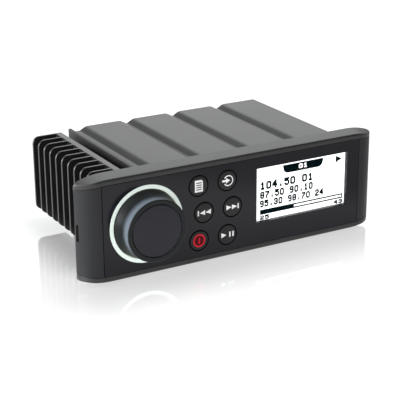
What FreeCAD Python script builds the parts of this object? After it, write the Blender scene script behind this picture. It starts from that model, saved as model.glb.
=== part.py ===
import FreeCAD, Part
import Sketcher
import math
import os

# A flush-mount marine stereo: a moulded front with a rotary knob, six keys and a display,
# a sheet metal chassis with a pressed lid, and a finned heatsink along its left side.
# Millimetres. X points right as seen from the front, Z up, and the front faces -Y.
# Everything is drawn with the flat of the fascia at y = 0, and each piece is then moved
# back or forward by one shared amount, so that the origin is under the middle of the box.

os.makedirs("parts", exist_ok=True)
doc = FreeCAD.newDocument("marine_stereo")
sheet = doc.addObject("Spreadsheet::Sheet", "Sizes")
Vector = FreeCAD.Vector


class Size:
    """A number together with the sheet formula that gives it."""

    def __init__(self, number, formula):
        self.number = number
        self.formula = formula

    def __add__(self, other):
        other = as_size(other)
        return Size(self.number + other.number, f"({self.formula} + {other.formula})")

    def __sub__(self, other):
        other = as_size(other)
        return Size(self.number - other.number, f"({self.formula} - {other.formula})")

    def __mul__(self, other):
        other = as_size(other)
        return Size(self.number * other.number, f"({self.formula} * {other.formula})")

    def __truediv__(self, other):
        other = as_size(other)
        return Size(self.number / other.number, f"({self.formula} / {other.formula})")

    def __neg__(self):
        return Size(-self.number, f"(0 - {self.formula})")

    __radd__ = __add__
    __rmul__ = __mul__

    def __rsub__(self, other):
        return as_size(other) - self


def as_size(value):
    return value if isinstance(value, Size) else Size(float(value), f"({float(value)})")


def root(value):
    return Size(math.sqrt(value.number), f"sqrt({value.formula})")


def size(name, number):
    """Writes one driving dimension into the sheet."""
    row = size.rows = size.rows + 1
    sheet.set(f"A{row}", name)
    sheet.set(f"B{row}", str(number))
    sheet.setAlias(f"B{row}", name)
    return Size(float(number), f"Sizes.{name}")


size.rows = 0

# Fascia and bezel
face_width = size("face_width", 165)
panel_height = size("panel_height", 44.6)
lip_height = size("lip_height", 2.6)
rail_rise = size("rail_rise", 1.75)
rail_round = size("rail_round", 1.2)
bezel_depth = size("bezel_depth", 6.9)
end_run = size("end_run", 10.5)
end_arc_run = size("end_arc_run", 14.5)
end_arc_radius = size("end_arc_radius", 36)
end_corner_radius = size("end_corner_radius", 3)
channel_arc_radius = size("channel_arc_radius", 62)
cover_length = size("cover_length", 11.1)
part_gap = size("part_gap", 0.15)
overshoot = size("overshoot", 1)
root_overlap = size("root_overlap", 0.5)
panel_thick = size("panel_thick", 2)
seal_thick = size("seal_thick", 0.3)
seal_end_gap = size("seal_end_gap", 0.4)
ledge_width = size("ledge_width", 1.6)
plate_thick = size("plate_thick", 2)
cover_thick = size("cover_thick", 1.6)
notch_height = size("notch_height", 8.2)
notch_depth = size("notch_depth", 2)
notch_run = size("notch_run", 4)
mount_hole_radius = size("mount_hole_radius", 2.1)
mount_hole_inset = size("mount_hole_inset", 7.1)
mount_hole_rise = size("mount_hole_rise", 13.5)
flange_end_inset = size("flange_end_inset", 3.6)
tab_width = size("tab_width", 2.4)
tab_height = size("tab_height", 3)
tab_rise = size("tab_rise", 4.2)
tab_gap = size("tab_gap", 0.1)
tab_root = size("tab_root", 0.6)
gasket_thick = size("gasket_thick", 1)
gasket_inset = size("gasket_inset", 0.6)
gasket_clear = size("gasket_clear", 1)

# Knob, light ring and encoder
knob_inset = size("knob_inset", 33.6)
ring_radius = size("ring_radius", 19.05)
ring_width = size("ring_width", 1.9)
ring_flange = size("ring_flange", 1)
knob_proud = size("knob_proud", 10.7)
knob_base_gap = size("knob_base_gap", 0.35)
knob_waist_radius = size("knob_waist_radius", 14.7)
knob_rim_radius = size("knob_rim_radius", 15.2)
knob_waist_depth = size("knob_waist_depth", 3.7)
knob_base_depth = size("knob_base_depth", 0.3)
knob_rim_round = size("knob_rim_round", 0.6)
knob_wall = size("knob_wall", 1.8)
knob_back_y = size("knob_back_y", 0.6)
collar_gap = size("collar_gap", 0.3)
knob_travel = size("knob_travel", 0.5)
cap_radius = size("cap_radius", 12.7)
cap_thick = size("cap_thick", 1.3)
cap_gap = size("cap_gap", 0.3)
cap_dome = size("cap_dome", 0.25)
cap_bevel = size("cap_bevel", 0.3)
lamp_side = size("lamp_side", 1.6)
lamp_height = size("lamp_height", 0.35)
shaft_radius = size("shaft_radius", 3)
shaft_clear = size("shaft_clear", 0.05)
shaft_bevel = size("shaft_bevel", 0.4)
shaft_end_gap = size("shaft_end_gap", 0.3)
hub_wall = size("hub_wall", 1.7)
encoder_side = size("encoder_side", 12.4)
encoder_proud = size("encoder_proud", 2.4)
bushing_radius = size("bushing_radius", 4)
bushing_length = size("bushing_length", 2)
encoder_wall = size("encoder_wall", 0.9)
cavity_gap = size("cavity_gap", 0.3)
rotor_radius = size("rotor_radius", 4.9)
rotor_thick = size("rotor_thick", 2)
rotor_gap = size("rotor_gap", 0.1)

# Keys
key_radius = size("key_radius", 5.05)
key_gap = size("key_gap", 0.35)
keys_from_knob = size("keys_from_knob", 27.5)
key_step_x = size("key_step_x", 15.7)
key_step_z = size("key_step_z", 13.8)
key_middle_shift = size("key_middle_shift", 2.8)
key_proud = size("key_proud", 0.3)
key_travel = size("key_travel", 0.5)
key_flange = size("key_flange", 0.8)
key_flange_thick = size("key_flange_thick", 0.5)
key_dome = size("key_dome", 0.25)
key_play = size("key_play", 0.05)
key_stem_radius = size("key_stem_radius", 1.2)
switch_height = size("switch_height", 0.25)
switch_radius = size("switch_radius", 2.2)
switch_gap = size("switch_gap", 0.1)
guide_gap = size("guide_gap", 0.3)
guide_margin = size("guide_margin", 0.5)

# Display and control board
window_width = size("window_width", 53.1)
window_height = size("window_height", 27.4)
window_rise = size("window_rise", 2.75)
glass_border = size("glass_border", 1.2)
board_thick = size("board_thick", 1.2)
board_gap = size("board_gap", 1.5)
board_end_inset = size("board_end_inset", 11.6)
board_margin = size("board_margin", 2.4)
control_screw_inset = size("control_screw_inset", 13.6)
control_screw_rise = size("control_screw_rise", 15.5)
control_screw_radius = size("control_screw_radius", 0.9)
control_head_radius = size("control_head_radius", 1.5)
control_head_height = size("control_head_height", 1.1)

# Chassis, lid and heatsink
chassis_rear = size("chassis_rear", 92)
chassis_gap = size("chassis_gap", 0.1)
lid_top = size("lid_top", 48.7)
tray_bottom = size("tray_bottom", 4.6)
tray_left = size("tray_left", 46.9)
lid_right = size("lid_right", 65.7)
sheet_wall = size("sheet_wall", 1.2)
left_wall = size("left_wall", 1.6)
bend_radius = size("bend_radius", 2)
groove_depth = size("groove_depth", 1.9)
groove_run = size("groove_run", 3.4)
lid_pitch = size("lid_pitch", 27.6)
lid_panel = size("lid_panel", 20.1)
lid_flange = size("lid_flange", 11)
skirt_depth = size("skirt_depth", 7)
skirt_wall = size("skirt_wall", 2)
skirt_gap = size("skirt_gap", 0.2)
skirt_screw_edge = size("skirt_screw_edge", 3.2)
low_screw_inset = size("low_screw_inset", 12)
side_screw_low = size("side_screw_low", 9)
side_screw_high = size("side_screw_high", 12)
lid_screw_drop = size("lid_screw_drop", 6)
lid_screw_front = size("lid_screw_front", 24)
lid_screw_rear = size("lid_screw_rear", 16)
sink_screw_front = size("sink_screw_front", 16)
sink_screw_rear = size("sink_screw_rear", 13)
spine_gap = size("spine_gap", 0.05)
base_left = size("base_left", 54.3)
base_thick = size("base_thick", 3.3)
fin_reach = size("fin_reach", 67.2)
fin_bottom = size("fin_bottom", 8)
fin_top = size("fin_top", 47.5)
fin_corner = size("fin_corner", 3.6)
fin_pitch = size("fin_pitch", 7.3)
fin_thick = size("fin_thick", 1.3)
spine_low = size("spine_low", 14)
spine_high = size("spine_high", 36)

# Main board and what stands on it
main_board_z = size("main_board_z", 11)
main_board_front = size("main_board_front", 18)
main_board_thick = size("main_board_thick", 1.6)
main_board_margin = size("main_board_margin", 1.5)
main_board_rear_gap = size("main_board_rear_gap", 3)
standoff_radius = size("standoff_radius", 2.6)
standoff_inset = size("standoff_inset", 5)
standoff_rear = size("standoff_rear", 20)
standoff_floor = size("standoff_floor", 1)
screw_radius = size("screw_radius", 1.25)
screw_clear = size("screw_clear", 0.1)
thread_gap = size("thread_gap", 0.03)
head_radius = size("head_radius", 2.4)
head_height = size("head_height", 1.2)
short_screw = size("short_screw", 3.4)
long_screw = size("long_screw", 5)
chip_length = size("chip_length", 20)
chip_thick = size("chip_thick", 4.5)
chip_height = size("chip_height", 11)
chip_step = size("chip_step", 22)
chip_front = size("chip_front", 30)
chip_lift = size("chip_lift", 2)
chip_round = size("chip_round", 0.6)
lead_side = size("lead_side", 0.8)
lead_step = size("lead_step", 2.4)
lead_inset = size("lead_inset", 1.6)
clamp_thick = size("clamp_thick", 1.2)
clamp_lap = size("clamp_lap", 8)
clamp_gap = size("clamp_gap", 0.3)
capacitor_radius = size("capacitor_radius", 8)
capacitor_height = size("capacitor_height", 24)
capacitor_step = size("capacitor_step", 18)
capacitor_bevel = size("capacitor_bevel", 0.8)
capacitor_gap = size("capacitor_gap", 4)
choke_ahead_x = size("choke_ahead_x", 22)
choke_behind_y = size("choke_behind_y", 22)
choke_radius = size("choke_radius", 8.5)
choke_core = size("choke_core", 3.6)
can_left = size("can_left", 33)
can_front = size("can_front", 46)
can_length = size("can_length", 26)
can_width = size("can_width", 20)
can_height = size("can_height", 8)
can_round = size("can_round", 1)
package_left = size("package_left", 12)
package_side = size("package_side", 14)
package_height = size("package_height", 1.4)
ribbon_width = size("ribbon_width", 16)
ribbon_thick = size("ribbon_thick", 0.8)
ribbon_inset = size("ribbon_inset", 4)
ribbon_drop = size("ribbon_drop", 4)
ribbon_bend = size("ribbon_bend", 3)
ribbon_rear = size("ribbon_rear", 5)
header_side = size("header_side", 1.5)
header_depth = size("header_depth", 2.5)
header_height = size("header_height", 5)

# Rear sockets
antenna_x = size("antenna_x", 50)
antenna_z = size("antenna_z", 33)
antenna_radius = size("antenna_radius", 5.9)
antenna_bore = size("antenna_bore", 4.3)
antenna_flange = size("antenna_flange", 1.6)
antenna_seat = size("antenna_seat", 6)
antenna_floor = size("antenna_floor", 3)
antenna_bevel = size("antenna_bevel", 0.5)
antenna_foot = size("antenna_foot", 12)
socket_reach = size("socket_reach", 8)
phono_x = size("phono_x", 19)
phono_step = size("phono_step", 14)
phono_low = size("phono_low", 20)
phono_radius = size("phono_radius", 4.15)
phono_stem = size("phono_stem", 3.6)
phono_bore = size("phono_bore", 1.7)
phono_body_depth = size("phono_body_depth", 12)
phono_seat = size("phono_seat", 6)
phono_floor = size("phono_floor", 2)
seat_gap = size("seat_gap", 0.05)
usb_x = size("usb_x", 3.2)
usb_width = size("usb_width", 13.2)
usb_height = size("usb_height", 5.8)
usb_wall = size("usb_wall", 0.4)
usb_depth = size("usb_depth", 18)
usb_reach = size("usb_reach", 0.3)
usb_floor = size("usb_floor", 2)
tongue_inset = size("tongue_inset", 1.2)
tongue_thick = size("tongue_thick", 1.8)
tongue_short = size("tongue_short", 3)
loom_x = size("loom_x", 22)
loom_width = size("loom_width", 33)
loom_height = size("loom_height", 17)
loom_wall = size("loom_wall", 1.5)
loom_depth = size("loom_depth", 16)
loom_reach = size("loom_reach", 3)
loom_floor = size("loom_floor", 3)
key_slot_half = size("key_slot_half", 3)
pin_size = size("pin_size", 1.4)
pin_length = size("pin_length", 9)
pin_step_x = size("pin_step_x", 3.5)
pin_step_z = size("pin_step_z", 6)
lug_half = size("lug_half", 3)
lug_depth = size("lug_depth", 2.5)
rear_screw_inset = size("rear_screw_inset", 3.4)
rear_screw_low = size("rear_screw_low", 4)
rear_screw_drop = size("rear_screw_drop", 6)
fuse_width = size("fuse_width", 19)
fuse_thick = size("fuse_thick", 5)
fuse_head = size("fuse_head", 6)
fuse_sink = size("fuse_sink", 3)
fuse_round = size("fuse_round", 0.5)
blade_width = size("blade_width", 5)
blade_thick = size("blade_thick", 0.8)
blade_inset = size("blade_inset", 1.5)
holder_wall = size("holder_wall", 1.2)
holder_depth = size("holder_depth", 12)
holder_reach = size("holder_reach", 1)
holder_floor = size("holder_floor", 2)
holder_gap = size("holder_gap", 2.4)
cut_gap = size("cut_gap", 0.2)

doc.recompute()

# Worked-out places
half_width = face_width / 2
end_flat = half_width - end_run
end_arc_start = half_width - end_arc_run
seam_x = half_width - cover_length
mount_hole_x = half_width - mount_hole_inset
control_screw_x = half_width - control_screw_inset
board_half = half_width - board_end_inset
knob_x = half_width - knob_inset
key_left = knob_x - keys_from_knob
rim = lip_height + rail_rise
mid_z = panel_height / 2 + rim
bezel_top = mid_z * 2
plate_front = bezel_depth - plate_thick
ledge_y = panel_thick + seal_thick
board_front = panel_thick + board_gap
board_back = board_front + board_thick
inner_height = panel_height - ledge_width * 2
tray_right = lid_right - sheet_wall
tray_inner_left = -tray_left + left_wall
tray_inner_right = tray_right - sheet_wall
tray_floor = tray_bottom + sheet_wall
chassis_front = bezel_depth + chassis_gap
groove_top = lid_top - groove_depth
groove_under = groove_top - sheet_wall
knob_reach = knob_proud
rear_reach = chassis_rear + socket_reach
centre_shift = (knob_reach - rear_reach) / 2

# The display stands between the key guide and the screws of the control board, with three
# quarters of the free width on its left
guide_hole = key_radius + key_flange + guide_gap
guide_edge = guide_hole + guide_margin
guide_right = -key_left + key_step_x + key_middle_shift + guide_edge
screws_left = control_screw_x - control_head_radius
module_width = window_width + glass_border * 2
free_width = screws_left - guide_right - module_width
window_left = guide_right + free_width * 3 / 4 + glass_border

nodes = {}


def bind(thing, path, value):
    thing.setExpression(path, as_size(value).formula)


def new_body(name):
    body = doc.addObject("PartDesign::Body", name)
    nodes[name] = body
    return body


def sketch_on(body, role, name, place=(0, 0, 0)):
    """A sketch on one of the body's own planes, moved within the plane's own axes."""
    sketch = body.newObject("Sketcher::SketchObject", name)
    plane = next(f for f in body.Origin.OriginFeatures if f.Role == role)
    sketch.AttachmentSupport = [(plane, "")]
    sketch.MapMode = "FlatFace"
    for letter, value in zip("xyz", place):
        bind(sketch, f"AttachmentOffset.Base.{letter}", value)
    return sketch


def front_sketch(body, name, y=0, x=0, z=0):
    """Drawn in X and Z, at a depth y behind the flat of the fascia."""
    return sketch_on(body, "XZ_Plane", name, (x, z, -as_size(y)))


def pin_point(sketch, geometry, position, x, z):
    for kind, value in (("DistanceX", x), ("DistanceY", z)):
        value = as_size(value)
        item = Sketcher.Constraint(kind, -1, 1, geometry, position, value.number)
        index = sketch.addConstraint(item)
        bind(sketch, f"Constraints[{index}]", value)


def pin_radius(sketch, geometry, radius):
    radius = as_size(radius)
    index = sketch.addConstraint(Sketcher.Constraint("Radius", geometry, radius.number))
    bind(sketch, f"Constraints[{index}]", radius)


def outline(sketch, corners):
    """A closed wire. A corner is (x, z), or (x, z, radius) where an arc leads to the next
    corner: a positive radius turns right along the way, a negative one turns left."""
    count = len(corners)
    drawn = []
    for i, corner in enumerate(corners):
        following = corners[(i + 1) % count]
        start = Vector(as_size(corner[0]).number, as_size(corner[1]).number, 0)
        end = Vector(as_size(following[0]).number, as_size(following[1]).number, 0)
        if len(corner) == 2:
            drawn.append((sketch.addGeometry(Part.LineSegment(start, end)), 1, 2))
            continue
        radius = as_size(corner[2]).number
        turn = 1 if radius > 0 else -1
        radius = abs(radius)
        chord = end - start
        reach = math.sqrt(max(radius ** 2 - chord.Length ** 2 / 4, 0))
        side = Vector(chord.y, -chord.x, 0).normalize() * turn
        centre = (start + end) * 0.5 + side * reach
        first, last = (end, start) if turn > 0 else (start, end)
        angles = [math.atan2(p.y - centre.y, p.x - centre.x) for p in (first, last)]
        arc = Part.ArcOfCircle(Part.Circle(centre, Vector(0, 0, 1), radius), *angles)
        index = sketch.addGeometry(arc)
        drawn.append((index, 2, 1) if turn > 0 else (index, 1, 2))
    for i, (index, start_at, end_at) in enumerate(drawn):
        after, after_start, _ = drawn[(i + 1) % count]
        sketch.addConstraint(Sketcher.Constraint("Coincident", index, end_at, after, after_start))
    for corner, (index, start_at, _) in zip(corners, drawn):
        pin_point(sketch, index, start_at, corner[0], corner[1])
        if len(corner) == 3:
            radius = as_size(corner[2])
            pin_radius(sketch, index, radius if radius.number > 0 else -radius)


def rectangle(sketch, x0, x1, z0, z1):
    outline(sketch, [(x0, z0), (x1, z0), (x1, z1), (x0, z1)])


def circle(sketch, x, z, radius):
    centre = Vector(as_size(x).number, as_size(z).number, 0)
    shape = Part.Circle(centre, Vector(0, 0, 1), as_size(radius).number)
    index = sketch.addGeometry(shape)
    pin_point(sketch, index, 3, x, z)
    pin_radius(sketch, index, radius)


def pad(body, sketch, length, name, towards_normal=False):
    """From a front sketch a pad runs back, along +Y, unless it goes towards the normal."""
    feature = body.newObject("PartDesign::Pad", name)
    feature.Profile = sketch
    bind(feature, "Length", length)
    feature.Reversed = not towards_normal
    return feature


def pocket(body, sketch, depth, name):
    """From a front sketch a pocket runs back, along +Y."""
    feature = body.newObject("PartDesign::Pocket", name)
    feature.Profile = sketch
    bind(feature, "Length", depth)
    return feature


def pocket_all(body, sketch, name):
    """A pocket that goes right through, both ways."""
    feature = body.newObject("PartDesign::Pocket", name)
    feature.Profile = sketch
    feature.Type = "ThroughAll"
    feature.Midplane = True
    return feature


def turned(body, sketch, name, kind="PartDesign::Revolution"):
    """A turned form about the sketch's own vertical axis, which runs along Y."""
    feature = body.newObject(kind, name)
    feature.Profile = sketch
    feature.ReferenceAxis = (sketch, ["V_Axis"])
    feature.Angle = 360
    return feature


def box(name, x0, x1, y0, y1, z0, z1):
    solid = doc.addObject("Part::Box", name)
    for prop, low, high in (("Length", x0, x1), ("Width", y0, y1), ("Height", z0, z1)):
        bind(solid, prop, as_size(high) - low)
    for letter, low in (("x", x0), ("y", y0), ("z", z0)):
        bind(solid, f"Placement.Base.{letter}", low)
    return solid


TURNS = {
    "X": FreeCAD.Rotation(Vector(0, 1, 0), 90),
    "Y": FreeCAD.Rotation(Vector(1, 0, 0), -90),
    "Z": FreeCAD.Rotation(),
}


def rod(name, axis, x, y, z, radius, length):
    """A round bar that starts at (x, y, z) and runs along +X, +Y or +Z."""
    solid = doc.addObject("Part::Cylinder", name)
    solid.Placement = FreeCAD.Placement(Vector(), TURNS[axis])
    bind(solid, "Radius", radius)
    bind(solid, "Height", length)
    for letter, low in (("x", x), ("y", y), ("z", z)):
        bind(solid, f"Placement.Base.{letter}", low)
    return solid


def fused(name, solids):
    whole = doc.addObject("Part::MultiFuse", name)
    whole.Shapes = solids
    whole.Refine = True
    return whole


def without(name, base, tools):
    whole = doc.addObject("Part::Cut", name)
    whole.Base = base
    whole.Tool = tools[0] if len(tools) == 1 else fused(name + "_tools", tools)
    return whole


def group(name, solids):
    """One node that holds separate solids."""
    whole = doc.addObject("Part::Compound", name)
    whole.Links = solids
    nodes[name] = whole
    return whole


def soft_box(name, x0, x1, y0, y1, z0, z1, radius):
    """A box with its upright edges rounded."""
    solid = box(name + "_block", x0, x1, y0, y1, z0, z1)
    doc.recompute()
    soft = doc.addObject("Part::Fillet", name)
    soft.Base = solid
    rounds = [i for i, e in enumerate(solid.Shape.Edges, 1) if upright(e)]
    soft.Edges = [(i, radius.number, radius.number) for i in rounds]
    return soft


def upright(edge):
    ends = [v.Point for v in edge.Vertexes]
    return len(ends) == 2 and abs(ends[0].z - ends[1].z) > 0.5 * edge.Length


def channel_edge(inset, reach, high):
    """Corners of the channel's top or bottom edge, set in by a distance, from the left end to
    the right end for the top, and back for the bottom. reach is where the end arcs stop."""
    radius = channel_arc_radius + rim - inset
    centre_z = mid_z * 2 - rim - channel_arc_radius
    run = reach - end_arc_start
    rise = root(radius * radius - run * run)
    end_z = centre_z + rise
    top_z = mid_z * 2 - inset
    if high:
        return [(-reach, end_z, radius), (-end_arc_start, top_z), (end_arc_start, top_z, radius),
                (reach, end_z)]
    return [(reach, mid_z * 2 - end_z, radius), (end_arc_start, inset),
            (-end_arc_start, inset, radius), (-reach, mid_z * 2 - end_z)]


def channel_end(side, inset, start, reach):
    """The part of the channel's outline, set in by a distance, that lies between two places
    near its right (1) or left (-1) end."""
    radius = channel_arc_radius + rim - inset
    centre_z = mid_z * 2 - rim - channel_arc_radius
    high = [centre_z + root(radius * radius - (x - end_arc_start) * (x - end_arc_start))
            for x in (start, reach)]
    low = [mid_z * 2 - z for z in high]
    if side > 0:
        return [(start, high[0], radius), (reach, high[1]), (reach, low[1], radius),
                (start, low[0])]
    return [(-start, low[0], radius), (-reach, low[1]), (-reach, high[1], radius),
            (-start, high[0])]


def bezel_outline(inset):
    """The bezel's whole front outline, with its long arcs and small end corners."""
    large = end_arc_radius - inset
    small = end_corner_radius - inset
    run = half_width - end_corner_radius - end_arc_start
    sine = run / (end_arc_radius - end_corner_radius)
    cosine = root(1 - sine * sine)
    join_x = end_arc_start + large * sine
    join_z = mid_z * 2 - end_arc_radius + large * cosine
    side_x = half_width - inset
    side_z = join_z - small * cosine
    top_z = mid_z * 2 - inset
    low = [mid_z * 2 - side_z, mid_z * 2 - join_z]
    return [(-end_arc_start, top_z), (end_arc_start, top_z, large), (join_x, join_z, small),
            (side_x, side_z), (side_x, low[0], small), (join_x, low[1], large),
            (end_arc_start, inset), (-end_arc_start, inset, large), (-join_x, low[1], small),
            (-side_x, low[0]), (-side_x, side_z, small), (-join_x, join_z, large)]


# The bezel's ends curve back from the flat face in plan, on one arc at each end
plan_run = half_width - end_flat
plan_radius = (plan_run * plan_run + bezel_depth * bezel_depth) / (bezel_depth * 2)


def plan_waste(side):
    """What the curved end leaves outside it, in plan, for the right (1) or left (-1) end."""
    beyond = half_width + 2
    return [(end_flat * side, -1), (beyond * side, -1), (beyond * side, bezel_depth),
            (half_width * side, bezel_depth, plan_radius * side), (end_flat * side, 0)]


def cut_plan_ends(body, name):
    """Cuts both curved ends, from below right up through the bezel."""
    sketch = sketch_on(body, "XY_Plane", name + "_plan")
    for side in (1, -1):
        outline(sketch, plan_waste(side))
    return pocket_all(body, sketch, name)


# front_housing: one moulding with the two rails, the mounting flange and the rear skirt
housing = new_body("front_housing")
rear_face = front_sketch(housing, "rear_face", bezel_depth)
outline(rear_face, bezel_outline(as_size(0)))
# The rails slope up towards the back, and round over to the front face in four steps
rail_slant = root(bezel_depth * bezel_depth + rail_rise * rail_rise)
round_reach = rail_round * bezel_depth / (rail_slant + rail_rise)
round_inset = rail_rise + round_reach
steps = [(round_reach * bezel_depth / rail_slant,
          rail_rise - round_reach * rail_rise / rail_slant)]
for degrees in (50, 25, 0):
    turn = math.radians(degrees)
    steps.append((rail_round * (1 - math.cos(turn)), round_inset - rail_round * math.sin(turn)))
sections = []
for i, (y, inset) in enumerate(steps):
    step_face = front_sketch(housing, f"rail_step_{i}", y)
    outline(step_face, bezel_outline(inset))
    sections.append(step_face)
shell = housing.newObject("PartDesign::AdditiveLoft", "bezel_block")
shell.Profile = rear_face
shell.Sections = sections
shell.Ruled = True
cut_plan_ends(housing, "bezel_ends")
channel = front_sketch(housing, "channel_outline", -overshoot)
channel_reach = half_width + overshoot
outline(channel, channel_edge(rim, channel_reach, True) + channel_edge(rim, channel_reach, False))
pocket(housing, channel, ledge_y + overshoot, "channel")
well = front_sketch(housing, "well_outline", ledge_y)
well_inset = rim + ledge_width
outline(well, channel_edge(well_inset, channel_reach, True)
        + channel_edge(well_inset, channel_reach, False))
pocket(housing, well, plate_front - ledge_y, "well")
end_clear = front_sketch(housing, "end_clearance", -overshoot)
end_trim = front_sketch(housing, "end_trim_outline", -overshoot)
for side in (1, -1):
    outline(end_clear, channel_end(side, rim, seam_x, channel_reach))
    outline(end_trim, channel_end(side, rim, half_width - flange_end_inset, channel_reach))
pocket(housing, end_clear, plate_front + overshoot, "end_clearances")
pocket(housing, end_trim, bezel_depth + overshoot * 2, "end_trims")

skirt_left = tray_inner_left + skirt_gap
skirt_right = tray_inner_right - skirt_gap
skirt_low = tray_floor + skirt_gap
skirt_high = groove_under - skirt_gap
skirt = front_sketch(housing, "skirt_outline", bezel_depth - root_overlap)
rectangle(skirt, skirt_left, skirt_right, skirt_low, skirt_high)
pad(housing, skirt, skirt_depth + root_overlap, "skirt")
window = front_sketch(housing, "window_outline", plate_front - overshoot)
rectangle(window, skirt_left + skirt_wall, skirt_right - skirt_wall, skirt_low + skirt_wall,
          skirt_high - skirt_wall)
pocket(housing, window, skirt_depth + plate_thick + overshoot * 2, "window_and_skirt_bore")
holes = front_sketch(housing, "hole_outlines", plate_front - overshoot)
for side in (1, -1):
    for rise in (1, -1):
        circle(holes, mount_hole_x * side, mid_z + mount_hole_rise * rise, mount_hole_radius)
        low = mid_z + tab_rise * rise - tab_height / 2
        inner = mount_hole_x * side - tab_width / 2
        rectangle(holes, inner - tab_gap, inner + tab_width + tab_gap, low - tab_gap,
                  low + tab_height + tab_gap)
for side in (1, -1):
    for rise in (1, -1):
        circle(holes, control_screw_x * side, mid_z + control_screw_rise * rise,
               control_screw_radius + thread_gap)
pocket(housing, holes, plate_thick + overshoot * 2, "mounting_and_tab_holes")
skirt_screw_y = bezel_depth + skirt_depth - skirt_screw_edge
low_screw_x = [skirt_left + low_screw_inset, skirt_right - low_screw_inset]
side_screw_z = [skirt_low + side_screw_low, skirt_high - side_screw_high]
thread_radius = screw_radius + thread_gap
hole_radius = screw_radius + screw_clear
low_holes = sketch_on(housing, "XY_Plane", "low_screw_holes", (0, 0, skirt_low - overshoot))
for x in low_screw_x:
    circle(low_holes, x, skirt_screw_y, thread_radius)
low_bores = pocket(housing, low_holes, skirt_wall + overshoot * 2, "low_screw_bores")
low_bores.Reversed = True
side_holes = sketch_on(housing, "YZ_Plane", "side_screw_holes", (0, 0, skirt_right + overshoot))
for z in side_screw_z:
    circle(side_holes, skirt_screw_y, z, thread_radius)
pocket(housing, side_holes, skirt_wall + overshoot * 2, "side_screw_bores")


# front_panel: the flat fascia plate, with openings for the knob, the keys and the display
def key_place(column, row):
    shift = key_middle_shift if row == 0 else as_size(0)
    return -key_left + key_step_x * column + shift, mid_z + key_step_z * row


key_names = {
    (0, 1): "menu_button", (1, 1): "source_button",
    (0, 0): "previous_button", (1, 0): "next_button",
    (0, -1): "power_button", (1, -1): "play_button",
}
panel_end = seam_x - part_gap
window_low = mid_z + window_rise - window_height / 2
panel = new_body("front_panel")
panel_face = front_sketch(panel, "panel_outline", 0)
outline(panel_face, channel_edge(rim + part_gap, panel_end, True)
        + channel_edge(rim + part_gap, panel_end, False))
circle(panel_face, -knob_x, mid_z, ring_radius + part_gap)
for column, row in key_names:
    x, z = key_place(column, row)
    circle(panel_face, x, z, key_radius + key_gap)
rectangle(panel_face, window_left - part_gap, window_left + window_width + part_gap,
          window_low - part_gap, window_low + window_height + part_gap)
pad(panel, panel_face, panel_thick, "panel_plate")

# panel_seal: the rubber cord gasket between the fascia plate and the ledge behind it
seal = new_body("panel_seal")
seal_face = front_sketch(seal, "seal_outline", panel_thick)
seal_end = panel_end - seal_end_gap
seal_out = rim + part_gap * 2
seal_in = rim + ledge_width
seal_inner_end = seal_end - ledge_width
outline(seal_face, channel_edge(seal_out, seal_end, True) + channel_edge(seal_out, seal_end, False))
outline(seal_face, [(-seal_inner_end, seal_in), (seal_inner_end, seal_in),
                    (seal_inner_end, bezel_top - seal_in), (-seal_inner_end, bezel_top - seal_in)])
pad(seal, seal_face, seal_thick, "seal_band")

# display_window: the clear lens, flush in the fascia plate
lens = new_body("display_window")
lens_face = front_sketch(lens, "lens_outline", 0)
rectangle(lens_face, window_left, window_left + window_width, window_low,
          window_low + window_height)
pad(lens, lens_face, panel_thick, "lens_plate")

# display_module: the display glass on the control board, behind the lens
glass = new_body("display_module")
glass_face = front_sketch(glass, "glass_outline", panel_thick)
rectangle(glass_face, window_left - glass_border, window_left + window_width + glass_border,
          window_low - glass_border, window_low + window_height + glass_border)
pad(glass, glass_face, board_gap, "glass_plate")

# light_ring: the translucent ring round the knob, with a flange behind the fascia plate
knob_axis = (-knob_x, 0, mid_z)
ring_inner = ring_radius - ring_width
ring = new_body("light_ring")
ring_section = sketch_on(ring, "XY_Plane", "ring_section", knob_axis)
flange_y = panel_thick
flange_radius = ring_radius + ring_flange
ring_back = board_front - lamp_height
outline(ring_section, [(ring_inner, 0), (ring_radius, 0), (ring_radius, flange_y),
                       (flange_radius, flange_y), (flange_radius, ring_back),
                       (ring_inner, ring_back)])
turned(ring, ring_section, "ring_turned")

# ring_lamps: the lamps on the control board that light the ring
lamp_count = 8
lamp_radius = ring_inner + ring_width / 2
lamps = []
for i in range(lamp_count):
    angle = 2 * math.pi * (i + 0.5) / lamp_count
    x = -knob_x + lamp_radius * math.cos(angle) - lamp_side / 2
    z = mid_z + lamp_radius * math.sin(angle) - lamp_side / 2
    lamps.append(box(f"lamp_{i}", x, x + lamp_side, ring_back, board_front, z, z + lamp_side))
group("ring_lamps", lamps)

# knob_collar: the moulded ring that fills the well inside the light ring and seats the seal
collar = new_body("knob_collar")
collar_section = sketch_on(collar, "XY_Plane", "collar_section", knob_axis)
half_encoder = encoder_side / 2
collar_inner = root(half_encoder * half_encoder * 2) + collar_gap
collar_outer = ring_inner - part_gap
collar_front = knob_back_y + knob_travel + collar_gap
outline(collar_section, [(collar_inner, collar_front), (collar_outer, collar_front),
                         (collar_outer, board_front), (collar_inner, board_front)])
turned(collar, collar_section, "collar_turned")

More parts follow.
